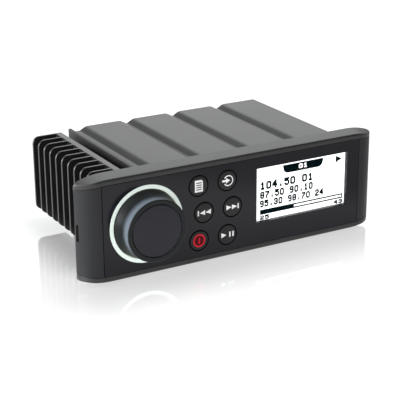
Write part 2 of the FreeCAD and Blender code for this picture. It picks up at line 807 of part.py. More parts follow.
# encoder_body: the square rotary encoder on the control board, with its bushing
encoder_front = -encoder_proud
bushing_front = encoder_front - bushing_length
encoder = new_body("encoder_body")
encoder_face = front_sketch(encoder, "encoder_outline", encoder_front, -knob_x, mid_z)
rectangle(encoder_face, -half_encoder, half_encoder, -half_encoder, half_encoder)
pad(encoder, encoder_face, board_front + encoder_proud, "encoder_block")
bushing = sketch_on(encoder, "XY_Plane", "bushing_section", knob_axis)
shaft_bore = shaft_radius + shaft_clear
outline(bushing, [(0, bushing_front), (bushing_radius, bushing_front),
                  (bushing_radius, encoder_front + root_overlap),
                  (0, encoder_front + root_overlap)])
turned(encoder, bushing, "bushing_turned")
cavity = sketch_on(encoder, "XY_Plane", "cavity_section", knob_axis)
cavity_front = encoder_front + encoder_wall
outline(cavity, [(0, bushing_front - overshoot), (shaft_bore, bushing_front - overshoot),
                 (shaft_bore, cavity_front), (rotor_radius + cavity_gap, cavity_front),
                 (rotor_radius + cavity_gap, board_front + overshoot),
                 (0, board_front + overshoot)])
turned(encoder, cavity, "cavity_turned", "PartDesign::Groove")

# encoder_rotor: the contact disc that turns with the shaft, while the shaft slides through it
rotor = new_body("encoder_rotor")
rotor_section = sketch_on(rotor, "XY_Plane", "rotor_section", knob_axis)
rotor_front = cavity_front + rotor_gap
outline(rotor_section, [(shaft_bore, rotor_front), (rotor_radius, rotor_front),
                        (rotor_radius, rotor_front + rotor_thick),
                        (shaft_bore, rotor_front + rotor_thick)])
turned(rotor, rotor_section, "rotor_turned")

# encoder_shaft: the steel shaft that the knob is pressed onto
cap_back = -knob_proud + cap_thick
shaft_front = cap_back + shaft_end_gap
shaft_back = board_front - knob_travel - shaft_end_gap
shaft = new_body("encoder_shaft")
shaft_section = sketch_on(shaft, "XY_Plane", "shaft_section", knob_axis)
outline(shaft_section, [(0, shaft_front), (shaft_radius - shaft_bevel, shaft_front),
                        (shaft_radius, shaft_front + shaft_bevel), (shaft_radius, shaft_back),
                        (0, shaft_back)])
turned(shaft, shaft_section, "shaft_turned")

# knob_body: the hollow knob with its drawn-in side, flat rim, recess for the cap and hub
knob_base_radius = ring_inner - knob_base_gap
waist_y = -knob_proud + knob_waist_depth
flare_run = knob_base_radius - knob_waist_radius
flare_fall = waist_y + knob_base_depth
flare_radius = (flare_run * flare_run + flare_fall * flare_fall) / (flare_run * 2)
hub_radius = shaft_radius + hub_wall
hub_back = bushing_front - knob_travel - collar_gap
inner_front = cap_back + knob_wall
inner_radius = knob_waist_radius - knob_wall
knob = new_body("knob_body")
knob_section = sketch_on(knob, "XY_Plane", "knob_section", knob_axis)
outline(knob_section, [
    (shaft_radius, cap_back), (cap_radius + cap_gap, cap_back),
    (cap_radius + cap_gap, -knob_proud),
    (knob_rim_radius - knob_rim_round, -knob_proud, -knob_rim_round),
    (knob_rim_radius, -knob_proud + knob_rim_round),
    (knob_waist_radius, waist_y, flare_radius),
    (knob_base_radius, -knob_base_depth), (knob_base_radius, knob_back_y),
    (inner_radius, knob_back_y), (inner_radius, inner_front), (hub_radius, inner_front),
    (hub_radius, hub_back), (shaft_radius, hub_back)])
turned(knob, knob_section, "knob_turned")

# knob_cap: the disc in the knob's front, slightly domed
cap = new_body("knob_cap")
cap_section = sketch_on(cap, "XY_Plane", "cap_section", knob_axis)
dome_edge = cap_radius - cap_bevel
cap_dome_radius = (dome_edge * dome_edge + cap_dome * cap_dome) / (cap_dome * 2)
outline(cap_section, [(0, -knob_proud, -cap_dome_radius), (dome_edge, -knob_proud + cap_dome),
                      (cap_radius, -knob_proud + cap_dome + cap_bevel), (cap_radius, cap_back),
                      (0, cap_back)])
turned(cap, cap_section, "cap_turned")

# The six keys: a domed cap with a retaining flange behind the fascia plate
key_front = -key_proud
flange_front = panel_thick + key_play
flange_edge = key_radius + key_flange
key_back = flange_front + key_flange_thick
stem_back = board_front - switch_height - key_travel - switch_gap
dome_radius = (key_radius * key_radius + key_dome * key_dome) / (key_dome * 2)
for (column, row), name in key_names.items():
    x, z = key_place(column, row)
    key = new_body(name)
    key_section = sketch_on(key, "XY_Plane", name + "_section", (x, 0, z))
    outline(key_section, [
        (0, key_front, -dome_radius), (key_radius, key_front + key_dome),
        (key_radius, flange_front), (flange_edge, flange_front), (flange_edge, key_back),
        (key_stem_radius, key_back), (key_stem_radius, stem_back), (0, stem_back)])
    turned(key, key_section, name + "_turned")

# key_switches: the snap domes under the keys, on the control board
domes = []
for index, (column, row) in enumerate(key_names):
    x, z = key_place(column, row)
    domes.append(rod(f"dome_{index}", "Y", x, board_front - switch_height, z, switch_radius,
                     switch_height))
group("key_switches", domes)

# key_guide: the silicone plate that surrounds the keys' flanges and seals the fascia plate
guide = new_body("key_guide")
guide_face = front_sketch(guide, "guide_outline", flange_front)
rectangle(guide_face, -key_left - guide_edge, guide_right,
          mid_z - key_step_z - guide_edge, mid_z + key_step_z + guide_edge)
for column, row in key_names:
    x, z = key_place(column, row)
    circle(guide_face, x, z, guide_hole)
pad(guide, guide_face, board_front - flange_front, "guide_plate")

# control_board: the circuit board behind the fascia plate
board = new_body("control_board")
board_face = front_sketch(board, "board_outline", board_front)
board_low = mid_z - inner_height / 2 + board_margin
rectangle(board_face, -board_half, board_half, board_low, mid_z * 2 - board_low)
for side in (1, -1):
    for rise in (1, -1):
        circle(board_face, control_screw_x * side, mid_z + control_screw_rise * rise,
               control_screw_radius + screw_clear)
pad(board, board_face, board_thick, "board_plate")


def screw(name, axis, place, head_first, length, radii=(screw_radius, head_radius),
          height=head_height):
    """A pan head screw whose head seats at a place. The shank runs on along the axis where
    head_first is true, and back along it where head_first is false."""
    index = "XYZ".index(axis)
    head = list(place)
    shank = list(place)
    if head_first:
        head[index] = as_size(place[index]) - height
    else:
        shank[index] = as_size(place[index]) - length
    return fused(name, [rod(name + "_shank", axis, *shank, radii[0], length),
                        rod(name + "_head", axis, *head, radii[1], height)])


# board_screws: four in the control board, four in the main board
main_left = tray_inner_left + main_board_margin
main_right = tray_inner_right - main_board_margin
rear_plate_y = chassis_rear - sheet_wall
main_rear = rear_plate_y - main_board_rear_gap
main_top = main_board_z + main_board_thick
corners = [(x, y) for x in (main_left + standoff_inset, main_right - standoff_inset)
           for y in (main_board_front + standoff_inset, chassis_rear - standoff_rear)]
screws = []
for side in (1, -1):
    for rise in (1, -1):
        place = (control_screw_x * side, board_front, mid_z + control_screw_rise * rise)
        screws.append(screw(f"control_screw_{len(screws)}", "Y", place, True,
                            board_thick + plate_thick,
                            (control_screw_radius, control_head_radius), control_head_height))
for x, y in corners:
    screws.append(screw(f"main_screw_{len(screws)}", "Z", (x, y, main_top), False,
                        main_board_thick + short_screw))
group("board_screws", screws)


# screw_cover_left and screw_cover_right: curved covers that clip over the mounting screws
def cover(name, side):
    body = new_body(name)
    face = front_sketch(body, name + "_outline", 0)
    outline(face, channel_end(side, rim + part_gap, seam_x + part_gap, channel_reach))
    pad(body, face, bezel_depth - part_gap, name + "_block")
    cut_plan_ends(body, name + "_curve")
    hollow = sketch_on(body, "XY_Plane", name + "_hollow_plan")
    inner_radius = plan_radius - cover_thick
    back_y = bezel_depth + overshoot
    inner_run = root(inner_radius * inner_radius
                     - (plan_radius - back_y) * (plan_radius - back_y))
    inner_start = seam_x - overshoot
    outline(hollow, [(inner_start * side, cover_thick),
                     (end_flat * side, cover_thick, inner_radius * -side),
                     ((end_flat + inner_run) * side, back_y), (inner_start * side, back_y)])
    pocket_all(body, hollow, name + "_hollow")
    tabs = front_sketch(body, name + "_tab_outlines", cover_thick - tab_root)
    for rise in (1, -1):
        low = mid_z + tab_rise * rise - tab_height / 2
        inner = mount_hole_x * side - tab_width / 2
        rectangle(tabs, inner, inner + tab_width, low, low + tab_height)
    pad(body, tabs, bezel_depth - cover_thick, name + "_tabs")
    notch_place = half_width - notch_run if side > 0 else -half_width - overshoot
    notch = sketch_on(body, "YZ_Plane", name + "_notch_outline", (0, 0, notch_place))
    rectangle(notch, bezel_depth - notch_depth, bezel_depth + overshoot,
              mid_z - notch_height / 2, mid_z + notch_height / 2)
    slot = pocket(body, notch, notch_run + overshoot, name + "_notch")
    slot.Reversed = True


cover("screw_cover_left", -1)
cover("screw_cover_right", 1)

# mounting_gasket: the foam gasket behind the flange
gasket = new_body("mounting_gasket")
gasket_face = front_sketch(gasket, "gasket_outline", bezel_depth)
outline(gasket_face, bezel_outline(gasket_inset))
rectangle(gasket_face, -fin_reach - gasket_clear, fin_reach + gasket_clear,
          tray_bottom - head_height - gasket_clear, lid_top + gasket_clear)
for side in (1, -1):
    for rise in (1, -1):
        circle(gasket_face, mount_hole_x * side, mid_z + mount_hole_rise * rise,
               mount_hole_radius)
pad(gasket, gasket_face, gasket_thick, "gasket_sheet")

# chassis_tray: the folded tray, whose left wall stands as high as the lid's raised panels
tray = new_body("chassis_tray")
tray_face = front_sketch(tray, "tray_section", chassis_front)
tray_rim = groove_under - part_gap * 2
outline(tray_face, [
    (-tray_left, lid_top), (-tray_left, tray_bottom + bend_radius, -bend_radius),
    (-tray_left + bend_radius, tray_bottom), (tray_right - bend_radius, tray_bottom,
                                              -bend_radius),
    (tray_right, tray_bottom + bend_radius), (tray_right, tray_rim),
    (tray_inner_right, tray_rim), (tray_inner_right, tray_floor), (tray_inner_left, tray_floor),
    (tray_inner_left, lid_top)])
tray_length = chassis_rear - chassis_front
pad(tray, tray_face, tray_length, "tray_fold")
tray_low_holes = sketch_on(tray, "XY_Plane", "tray_low_holes", (0, 0, tray_bottom - overshoot))
for x in low_screw_x:
    circle(tray_low_holes, x, skirt_screw_y, hole_radius)
tray_low = pocket(tray, tray_low_holes, sheet_wall + overshoot * 2, "tray_low_bores")
tray_low.Reversed = True
side_holes = sketch_on(tray, "YZ_Plane", "tray_side_holes", (0, 0, tray_right + overshoot))
for z in side_screw_z:
    circle(side_holes, skirt_screw_y, z, hole_radius)
lid_screw_z = groove_under - lid_screw_drop
lid_screw_y = [chassis_front + lid_screw_front, chassis_rear - lid_screw_rear]
for y in lid_screw_y:
    circle(side_holes, y, lid_screw_z, thread_radius)
pocket(tray, side_holes, sheet_wall + overshoot * 2, "tray_side_bores")
spine_mid = (spine_low + spine_high) / 2
sink_screw_y = [chassis_front + sink_screw_front, chassis_rear - sink_screw_rear]
sink_holes = sketch_on(tray, "YZ_Plane", "tray_sink_holes", (0, 0, tray_inner_left + overshoot))
for y in sink_screw_y:
    circle(sink_holes, y, spine_mid, hole_radius)
pocket(tray, sink_holes, left_wall + overshoot * 2, "tray_sink_bores")

# chassis_lid: the pressed lid, four raised panels with sloped grooves between them
panel_count = 4


def lid_path(drop, start, stop):
    """The lid's top line from left to right, lowered by a distance."""
    points = [(start, groove_top - drop)]
    for i in range(panel_count):
        right = lid_right - lid_pitch * (panel_count - 1 - i)
        left = right - lid_panel
        points.append((left - groove_run, groove_top - drop))
        points.append((left, lid_top - drop))
        if i < panel_count - 1:
            points.append((right, lid_top - drop))
            points.append((right + groove_run, groove_top - drop))
    points.append((stop, lid_top - drop))
    return points


lid = new_body("chassis_lid")
lid_face = front_sketch(lid, "lid_section", chassis_front)
lid_start = tray_inner_left + part_gap
lid_low = lid_top - lid_flange
under = list(reversed(lid_path(sheet_wall, lid_start, lid_right - sheet_wall)))
outline(lid_face, lid_path(as_size(0), lid_start, lid_right) + [(lid_right, lid_low),
        (lid_right - sheet_wall, lid_low)] + under)
pad(lid, lid_face, tray_length, "lid_pressing")
lid_holes = sketch_on(lid, "YZ_Plane", "lid_side_holes", (0, 0, lid_right + overshoot))
for y in lid_screw_y:
    circle(lid_holes, y, lid_screw_z, hole_radius)
pocket(lid, lid_holes, sheet_wall + overshoot * 2, "lid_side_bores")

# heatsink: an extruded back with its spine against the tray, and a row of cut fins
sink = new_body("heatsink")
fin_count = 12
fin_row = fin_pitch * (fin_count - 1)
sink_front = chassis_rear - fin_thick - fin_row
back_face = front_sketch(sink, "back_section", sink_front)
spine_right = -tray_left - spine_gap
outline(back_face, [
    (-base_left, fin_bottom), (-base_left + base_thick, fin_bottom),
    (-base_left + base_thick, spine_low), (spine_right, spine_low), (spine_right, spine_high),
    (-base_left + base_thick, spine_high), (-base_left + base_thick, fin_top),
    (-base_left, fin_top)])
pad(sink, back_face, chassis_rear - sink_front, "back_extrusion")
fin_face = front_sketch(sink, "fin_outline", sink_front)
fin_root = -base_left + root_overlap
outline(fin_face, [
    (fin_root, fin_top), (fin_root, fin_bottom),
    (-fin_reach + fin_corner, fin_bottom, fin_corner), (-fin_reach, fin_bottom + fin_corner),
    (-fin_reach, fin_top - fin_corner, fin_corner), (-fin_reach + fin_corner, fin_top)])
first_fin = pad(sink, fin_face, fin_thick, "front_fin")
fins = sink.newObject("PartDesign::LinearPattern", "fin_row")
fins.Originals = [first_fin]
fins.Direction = (fin_face, ["N_Axis"])
fins.Reversed = True
bind(fins, "Length", fin_row)
fins.Occurrences = fin_count
sink.Tip = fins
spine_holes = sketch_on(sink, "YZ_Plane", "sink_screw_holes", (0, 0, -tray_left + overshoot))
for y in sink_screw_y:
    circle(spine_holes, y, spine_mid, thread_radius)
pocket(sink, spine_holes, base_left - tray_left, "sink_screw_bores")

# rear_panel: the plate that closes the back, its top edge follows the lid
rear = new_body("rear_panel")
rear_face = front_sketch(rear, "rear_outline", rear_plate_y)
rear_left = tray_inner_left + part_gap
rear_right = tray_inner_right - part_gap
lid_under = lid_path(sheet_wall + cut_gap, rear_left, rear_right)
outline(rear_face, [(rear_right, tray_floor + part_gap), (rear_left, tray_floor + part_gap)]
        + lid_under)
circle(rear_face, antenna_x, antenna_z, antenna_radius + cut_gap)
for column in (0, 1):
    for row in (0, 1):
        circle(rear_face, phono_x + phono_step * column, phono_low + phono_step * row,
               phono_stem + cut_gap)
half_usb = usb_width / 2
usb_z = main_top
rectangle(rear_face, usb_x - half_usb - cut_gap, usb_x + half_usb + cut_gap,
          usb_z - cut_gap, usb_z + usb_height + cut_gap)
loom_left = -loom_x - loom_width / 2
loom_right = -loom_x + loom_width / 2
loom_low = main_top
loom_high = loom_low + loom_height
rectangle(rear_face, loom_left - cut_gap, loom_right + cut_gap, loom_low - cut_gap,
          loom_high + cut_gap)
holder_low = loom_high + holder_gap
holder_height = fuse_thick + holder_wall * 2
holder_left = -loom_x - fuse_width / 2 - holder_wall
holder_right = -loom_x + fuse_width / 2 + holder_wall
rectangle(rear_face, holder_left - cut_gap, holder_right + cut_gap, holder_low - cut_gap,
          holder_low + holder_height + cut_gap)
rear_screw_x = [rear_left + rear_screw_inset, rear_right - rear_screw_inset]
rear_screw_z = [tray_floor + rear_screw_low, groove_under - rear_screw_drop]
for x in rear_screw_x:
    for z in rear_screw_z:
        circle(rear_face, x, z, hole_radius)
pad(rear, rear_face, sheet_wall, "rear_plate")

# rear_brackets: the four folded lugs inside the tray that the rear panel screws into
lugs = []
for i, x in enumerate(rear_screw_x):
    left = tray_inner_left if i == 0 else x - lug_half
    right = x + lug_half if i == 0 else tray_inner_right
    for j, z in enumerate(rear_screw_z):
        block = box(f"lug_block_{i}{j}", left, right, rear_plate_y - lug_depth, rear_plate_y,
                    z - lug_half, z + lug_half)
        bore = rod(f"lug_bore_{i}{j}", "Y", x, rear_plate_y - lug_depth - overshoot, z,
                   thread_radius, lug_depth + overshoot * 2)
        lugs.append(without(f"lug_{i}{j}", block, [bore]))
group("rear_brackets", lugs)

# rear_screws, lid_screws, housing_screws and heatsink_screws hold the chassis together
group("rear_screws", [screw(f"rear_screw_{i}{j}", "Y", (x, chassis_rear, z), False, short_screw)
                      for i, x in enumerate(rear_screw_x)
                      for j, z in enumerate(rear_screw_z)])
group("lid_screws", [screw(f"lid_screw_{i}", "X", (lid_right, y, lid_screw_z), False,
                           short_screw) for i, y in enumerate(lid_screw_y)])
housing_screws = [screw(f"low_screw_{i}", "Z", (x, skirt_screw_y, tray_bottom), True,
                        short_screw) for i, x in enumerate(low_screw_x)]
housing_screws += [screw(f"side_screw_{i}", "X", (tray_right, skirt_screw_y, z), False,
                         short_screw) for i, z in enumerate(side_screw_z)]
group("housing_screws", housing_screws)
group("heatsink_screws", [screw(f"sink_screw_{i}", "X", (tray_inner_left, y, spine_mid), False,
                                long_screw) for i, y in enumerate(sink_screw_y)])

# main_board and its standoffs
main_board = new_body("main_board")
main_face = sketch_on(main_board, "XY_Plane", "main_outline", (0, 0, main_board_z))
rectangle(main_face, main_left, main_right, main_board_front, main_rear)
for x, y in corners:
    circle(main_face, x, y, hole_radius)
pad(main_board, main_face, main_board_thick, "main_plate", True)
standoffs = []
for i, (x, y) in enumerate(corners):
    post = rod(f"post_{i}", "Z", x, y, tray_floor, standoff_radius, main_board_z - tray_floor)
    bore = rod(f"post_bore_{i}", "Z", x, y, tray_floor + standoff_floor, thread_radius,
               main_board_z - tray_floor)
    standoffs.append(without(f"standoff_{i}", post, [bore]))
group("board_standoffs", standoffs)

# amplifier_chips: two power packages stood against the tray's left wall, and their clamp
chip_low = main_top + chip_lift
lead_count = 7
chips = []
for i in range(2):
    y = chip_front + chip_step * i
    solids = [soft_box(f"chip_{i}", tray_inner_left, tray_inner_left + chip_thick, y,
                       y + chip_length, chip_low, chip_low + chip_height, chip_round)]
    for k in range(lead_count):
        lead_y = y + lead_step * (k + 1)
        solids.append(box(f"lead_{i}{k}", tray_inner_left + lead_inset,
                          tray_inner_left + lead_inset + lead_side, lead_y, lead_y + lead_side,
                          main_top, chip_low))
    chips.append(fused(f"chip_whole_{i}", solids))
group("amplifier_chips", chips)
clamp = new_body("chip_clamp")
clamp_face = front_sketch(clamp, "clamp_section", chip_front)
clamp_x = tray_inner_left + chip_thick
clamp_top = chip_low + chip_height + clamp_gap
clamp_low = clamp_top - clamp_lap
outline(clamp_face, [
    (clamp_x, clamp_low), (clamp_x + clamp_thick, clamp_low),
    (clamp_x + clamp_thick, clamp_top + clamp_thick), (tray_inner_left, clamp_top + clamp_thick),
    (tray_inner_left, clamp_top), (clamp_x, clamp_top)])
pad(clamp, clamp_face, chip_step + chip_length, "clamp_strip")

# filter_capacitors, power_choke, tuner_can and control_chip on the main board
def capacitor(name, x, y):
    """A standing can with a bevelled top."""
    bevel_z = main_top + capacitor_height - capacitor_bevel
    sleeve = rod(name + "_sleeve", "Z", x, y, main_top, capacitor_radius,
                 capacitor_height - capacitor_bevel)
    top = doc.addObject("Part::Cone", name + "_top")
    bind(top, "Radius1", capacitor_radius)
    bind(top, "Radius2", capacitor_radius - capacitor_bevel)
    bind(top, "Height", capacitor_bevel)
    for letter, low in (("x", x), ("y", y), ("z", bevel_z)):
        bind(top, f"Placement.Base.{letter}", low)
    return fused(name, [sleeve, top])


capacitor_front = chip_front + capacitor_radius
capacitor_x = clamp_x + clamp_thick + capacitor_radius + capacitor_gap
capacitors = [capacitor(f"capacitor_{i}", capacitor_x, capacitor_front + capacitor_step * i)
              for i in range(2)]
capacitors.append(capacitor("capacitor_2", capacitor_x + capacitor_step, capacitor_front))
group("filter_capacitors", capacitors)
choke_place = (capacitor_x + choke_ahead_x, capacitor_front + choke_behind_y, main_top)
choke_outside = rod("choke_outside", "Z", *choke_place, choke_radius + choke_core, choke_core * 2)
choke_inside = rod("choke_inside", "Z", *choke_place, choke_radius - choke_core, choke_core * 2)
choke = without("choke_winding", choke_outside, [choke_inside])
group("power_choke", [choke])
group("tuner_can", [soft_box("tuner_shield", can_left, can_left + can_width, can_front,
                             can_front + can_length, main_top, main_top + can_height,
                             can_round)])
group("control_chip", [box("control_package", package_left, package_left + package_side,
                           capacitor_front, capacitor_front + package_side, main_top,
                           main_top + package_height)])

# antenna_socket: the turned jack with its bore, on a foot that stands on the main board
antenna = new_body("antenna_socket")
inside_y = rear_plate_y - antenna_seat
foot_back = rear_plate_y - seat_gap
foot_face = front_sketch(antenna, "foot_outline", inside_y)
rectangle(foot_face, antenna_x - antenna_foot / 2, antenna_x + antenna_foot / 2, main_top,
          antenna_z)
pad(antenna, foot_face, antenna_seat - seat_gap, "antenna_foot_block")
antenna_section = sketch_on(antenna, "XY_Plane", "antenna_section", (antenna_x, 0, antenna_z))
flange_out = antenna_radius + antenna_flange
outline(antenna_section, [
    (0, inside_y), (flange_out, inside_y), (flange_out, foot_back),
    (antenna_radius, foot_back), (antenna_radius, rear_reach - antenna_bevel),
    (antenna_radius - antenna_bevel, rear_reach), (0, rear_reach)])
turned(antenna, antenna_section, "antenna_turned")
bore_section = sketch_on(antenna, "XY_Plane", "antenna_bore_section", (antenna_x, 0, antenna_z))
bore_front = rear_plate_y - antenna_floor
outline(bore_section, [(0, bore_front), (antenna_bore, bore_front),
                       (antenna_bore, rear_reach + overshoot), (0, rear_reach + overshoot)])
turned(antenna, bore_section, "antenna_bored", "PartDesign::Groove")

# phono_sockets: four turned jacks, and the moulded block that holds them
block_left = phono_x - phono_step / 2
block_right = phono_x + phono_step * 1.5
block_high = phono_low + phono_step * 1.5
block_front = rear_plate_y - phono_body_depth
block = new_body("phono_block")
block_face = front_sketch(block, "block_outline", block_front)
rectangle(block_face, block_left, block_right, main_top, block_high)
pad(block, block_face, phono_body_depth - seat_gap, "block_moulding")
seats = front_sketch(block, "seat_outlines", rear_plate_y - phono_seat)
for column in (0, 1):
    for row in (0, 1):
        circle(seats, phono_x + phono_step * column, phono_low + phono_step * row, phono_stem)
pocket(block, seats, phono_seat + overshoot, "jack_seats")
jacks = []
for column in (0, 1):
    for row in (0, 1):
        x = phono_x + phono_step * column
        z = phono_low + phono_step * row
        name = f"jack_{column}{row}"
        seat_y = rear_plate_y - phono_seat
        barrel = fused(name + "_barrel", [
            rod(name + "_stem", "Y", x, seat_y, z, phono_stem, rear_reach - seat_y),
            rod(name + "_sleeve", "Y", x, chassis_rear, z, phono_radius, socket_reach)])
        bore = rod(name + "_bore", "Y", x, seat_y + phono_floor, z, phono_bore,
                   rear_reach - seat_y)
        jacks.append(without(name, barrel, [bore]))
group("phono_sockets", jacks)

# usb_socket: a folded shell with its tongue inside
usb = new_body("usb_socket")
usb_front = chassis_rear + usb_reach - usb_depth
usb_face = front_sketch(usb, "usb_outline", usb_front)
rectangle(usb_face, usb_x - half_usb, usb_x + half_usb, usb_z, usb_z + usb_height)
pad(usb, usb_face, usb_depth, "usb_block")
usb_hole = front_sketch(usb, "usb_opening", usb_front + usb_floor)
rectangle(usb_hole, usb_x - half_usb + usb_wall, usb_x + half_usb - usb_wall,
          usb_z + usb_wall, usb_z + usb_height - usb_wall)
pocket(usb, usb_hole, usb_depth, "usb_hollow")
tongue = front_sketch(usb, "usb_tongue_outline", usb_front + root_overlap)
tongue_top = usb_z + usb_height - usb_wall / 2
rectangle(tongue, usb_x - half_usb + tongue_inset, usb_x + half_usb - tongue_inset,
          tongue_top - tongue_thick, tongue_top)
pad(usb, tongue, usb_depth - root_overlap - tongue_short, "usb_tongue")

# loom_socket: the open box that takes the wiring loom's plug, with its pins
loom = new_body("loom_socket")
loom_front = chassis_rear - loom_depth
loom_face = front_sketch(loom, "loom_outline", loom_front)
rectangle(loom_face, loom_left, loom_right, loom_low, loom_high)
pad(loom, loom_face, loom_depth + loom_reach, "loom_block")
loom_hole = front_sketch(loom, "loom_opening", loom_front + loom_floor)
rectangle(loom_hole, loom_left + loom_wall, loom_right - loom_wall, loom_low + loom_wall,
          loom_high - loom_wall)
pocket(loom, loom_hole, loom_depth + loom_reach, "loom_hollow")
key_slot = front_sketch(loom, "key_slot_outline", chassis_rear + cut_gap)
rectangle(key_slot, -loom_x - key_slot_half, -loom_x + key_slot_half,
          loom_high - loom_wall - root_overlap, loom_high + root_overlap)
pocket(loom, key_slot, loom_reach, "key_slot")
pins = []
pin_columns = 8
for column in range(pin_columns):
    for row in range(2):
        x = -loom_x + pin_step_x * (column - (pin_columns - 1) / 2) - pin_size / 2
        z = loom_low + loom_height / 2 + pin_step_z * (row - 0.5) - pin_size / 2
        pins.append(box(f"pin_{column}{row}", x, x + pin_size, loom_front + loom_floor,
                        loom_front + loom_floor + pin_length, z, z + pin_size))
group("loom_pins", pins)

# fuse_holder and blade_fuse, above the loom socket
holder = new_body("fuse_holder")
holder_front = chassis_rear - holder_depth + holder_reach
holder_face = front_sketch(holder, "holder_outline", holder_front)
rectangle(holder_face, holder_left, holder_right, holder_low, holder_low + holder_height)
pad(holder, holder_face, holder_depth, "holder_block")
fuse_left = holder_left + holder_wall
fuse_right = holder_right - holder_wall
fuse_low = holder_low + holder_wall
fuse_high = fuse_low + fuse_thick
holder_hole = front_sketch(holder, "holder_opening", holder_front + holder_floor)
rectangle(holder_hole, fuse_left, fuse_right, fuse_low, fuse_high)
pocket(holder, holder_hole, holder_depth, "holder_hollow")
fuse_seat = chassis_rear - fuse_sink
fuse_parts = [soft_box("fuse_case", fuse_left + part_gap, fuse_right - part_gap, fuse_seat,
                       fuse_seat + fuse_head, fuse_low + part_gap, fuse_high - part_gap,
                       fuse_round)]
blade_z = (fuse_low + fuse_high - blade_thick) / 2
for i, x in enumerate((fuse_left + blade_inset, fuse_right - blade_inset - blade_width)):
    fuse_parts.append(box(f"fuse_blade_{i}", x, x + blade_width, holder_front + holder_floor,
                          fuse_seat + root_overlap, blade_z, blade_z + blade_thick))
group("blade_fuse", [fused("fuse_whole", fuse_parts)])

# ribbon_cable: the flat lead from the control board down to the main board
ribbon = new_body("ribbon_cable")
ribbon_x = window_left + ribbon_inset
ribbon_side = sketch_on(ribbon, "YZ_Plane", "ribbon_section", (0, 0, ribbon_x))
drop_y = main_board_front + ribbon_rear
ribbon_z = mid_z - ribbon_drop
bend = ribbon_bend
inner_bend = bend - ribbon_thick
outline(ribbon_side, [
    (board_back, ribbon_z), (board_back, ribbon_z + ribbon_thick),
    (drop_y - bend, ribbon_z + ribbon_thick, bend), (drop_y, ribbon_z + ribbon_thick - bend),
    (drop_y, main_top), (drop_y - ribbon_thick, main_top),
    (drop_y - ribbon_thick, ribbon_z + ribbon_thick - bend, -inner_bend),
    (drop_y - bend, ribbon_z)])
pad(ribbon, ribbon_side, ribbon_width, "ribbon_strip", True)
header_left = ribbon_x - header_side
header_right = ribbon_x + ribbon_width + header_side
ribbon_top = ribbon_z + ribbon_thick
header_parts = [
    box("rear_header", header_left, header_right, drop_y, drop_y + header_depth, main_top,
        main_top + header_height),
    box("front_header", header_left, header_right, board_back, board_back + header_height,
        ribbon_top, ribbon_top + header_depth)]
group("ribbon_headers", header_parts)

# Every piece is moved by the same amount, then checked and written
for name, node in nodes.items():
    node.Label = name
    bind(node, "Placement.Base.y", centre_shift)
doc.recompute()

faults = []
for thing in doc.Objects:
    if "Invalid" in thing.State or "Error" in thing.State:
        faults.append(f"{thing.Name}: {thing.State}")
for name, node in nodes.items():
    if node.Shape.isNull() or not node.Shape.isValid():
        faults.append(f"{name}: its shape is null or not valid")
if faults:
    raise RuntimeError("\n".join(faults))
if len(nodes) > 60:
    raise RuntimeError(f"{len(nodes)} nodes")

whole = FreeCAD.BoundBox()
for name, node in nodes.items():
    node.Shape.exportStep(f"parts/{name}.step")
    whole.add(node.Shape.BoundBox)
print(len(nodes), "nodes; box", [round(v, 2) for v in (
    whole.XMin, whole.XMax, whole.YMin, whole.YMax, whole.ZMin, whole.ZMax)])
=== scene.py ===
import math

import bpy
from mathutils import Matrix, Vector


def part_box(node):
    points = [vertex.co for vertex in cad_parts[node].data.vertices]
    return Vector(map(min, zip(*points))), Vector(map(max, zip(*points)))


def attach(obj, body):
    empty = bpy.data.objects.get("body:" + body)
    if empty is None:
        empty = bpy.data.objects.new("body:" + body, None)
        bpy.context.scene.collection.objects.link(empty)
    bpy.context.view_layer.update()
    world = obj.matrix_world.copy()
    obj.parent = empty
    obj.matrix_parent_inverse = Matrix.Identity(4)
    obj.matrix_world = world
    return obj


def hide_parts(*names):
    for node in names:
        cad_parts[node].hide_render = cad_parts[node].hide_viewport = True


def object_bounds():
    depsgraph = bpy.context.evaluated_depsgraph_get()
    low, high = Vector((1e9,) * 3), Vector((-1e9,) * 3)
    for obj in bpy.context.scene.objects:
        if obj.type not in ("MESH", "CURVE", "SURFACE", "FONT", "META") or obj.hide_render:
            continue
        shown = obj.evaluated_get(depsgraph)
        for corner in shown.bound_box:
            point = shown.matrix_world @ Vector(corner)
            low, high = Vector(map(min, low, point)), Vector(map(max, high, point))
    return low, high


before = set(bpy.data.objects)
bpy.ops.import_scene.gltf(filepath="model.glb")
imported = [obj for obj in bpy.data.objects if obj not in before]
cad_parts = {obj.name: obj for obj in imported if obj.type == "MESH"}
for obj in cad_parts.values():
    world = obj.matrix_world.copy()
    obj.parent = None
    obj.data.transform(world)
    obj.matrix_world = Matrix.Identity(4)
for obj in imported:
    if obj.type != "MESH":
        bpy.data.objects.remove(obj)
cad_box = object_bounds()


# The studio's sky: dim, with five soft boxes. Two stand low on the left and one high there,
# one stands high behind on the right and a weak one low behind. To the camera it is white.
class Wire:
    """A value that changes over a surface. Arithmetic on it adds Math nodes."""

    def __init__(self, nodes, socket):
        self.nodes = nodes
        self.socket = socket

    def math(self, operation, first, second=0.0):
        return self.nodes.node("Math", {"operation": operation}, {0: first, 1: second})

    def __add__(self, other):
        return self.math("ADD", self, other)

    def __sub__(self, other):
        return self.math("SUBTRACT", self, other)

    def __rsub__(self, other):
        return self.math("SUBTRACT", other, self)

    def __mul__(self, other):
        return self.math("MULTIPLY", self, other)

    def __gt__(self, other):
        return self.math("GREATER_THAN", self, other)

    __radd__ = __add__
    __rmul__ = __mul__


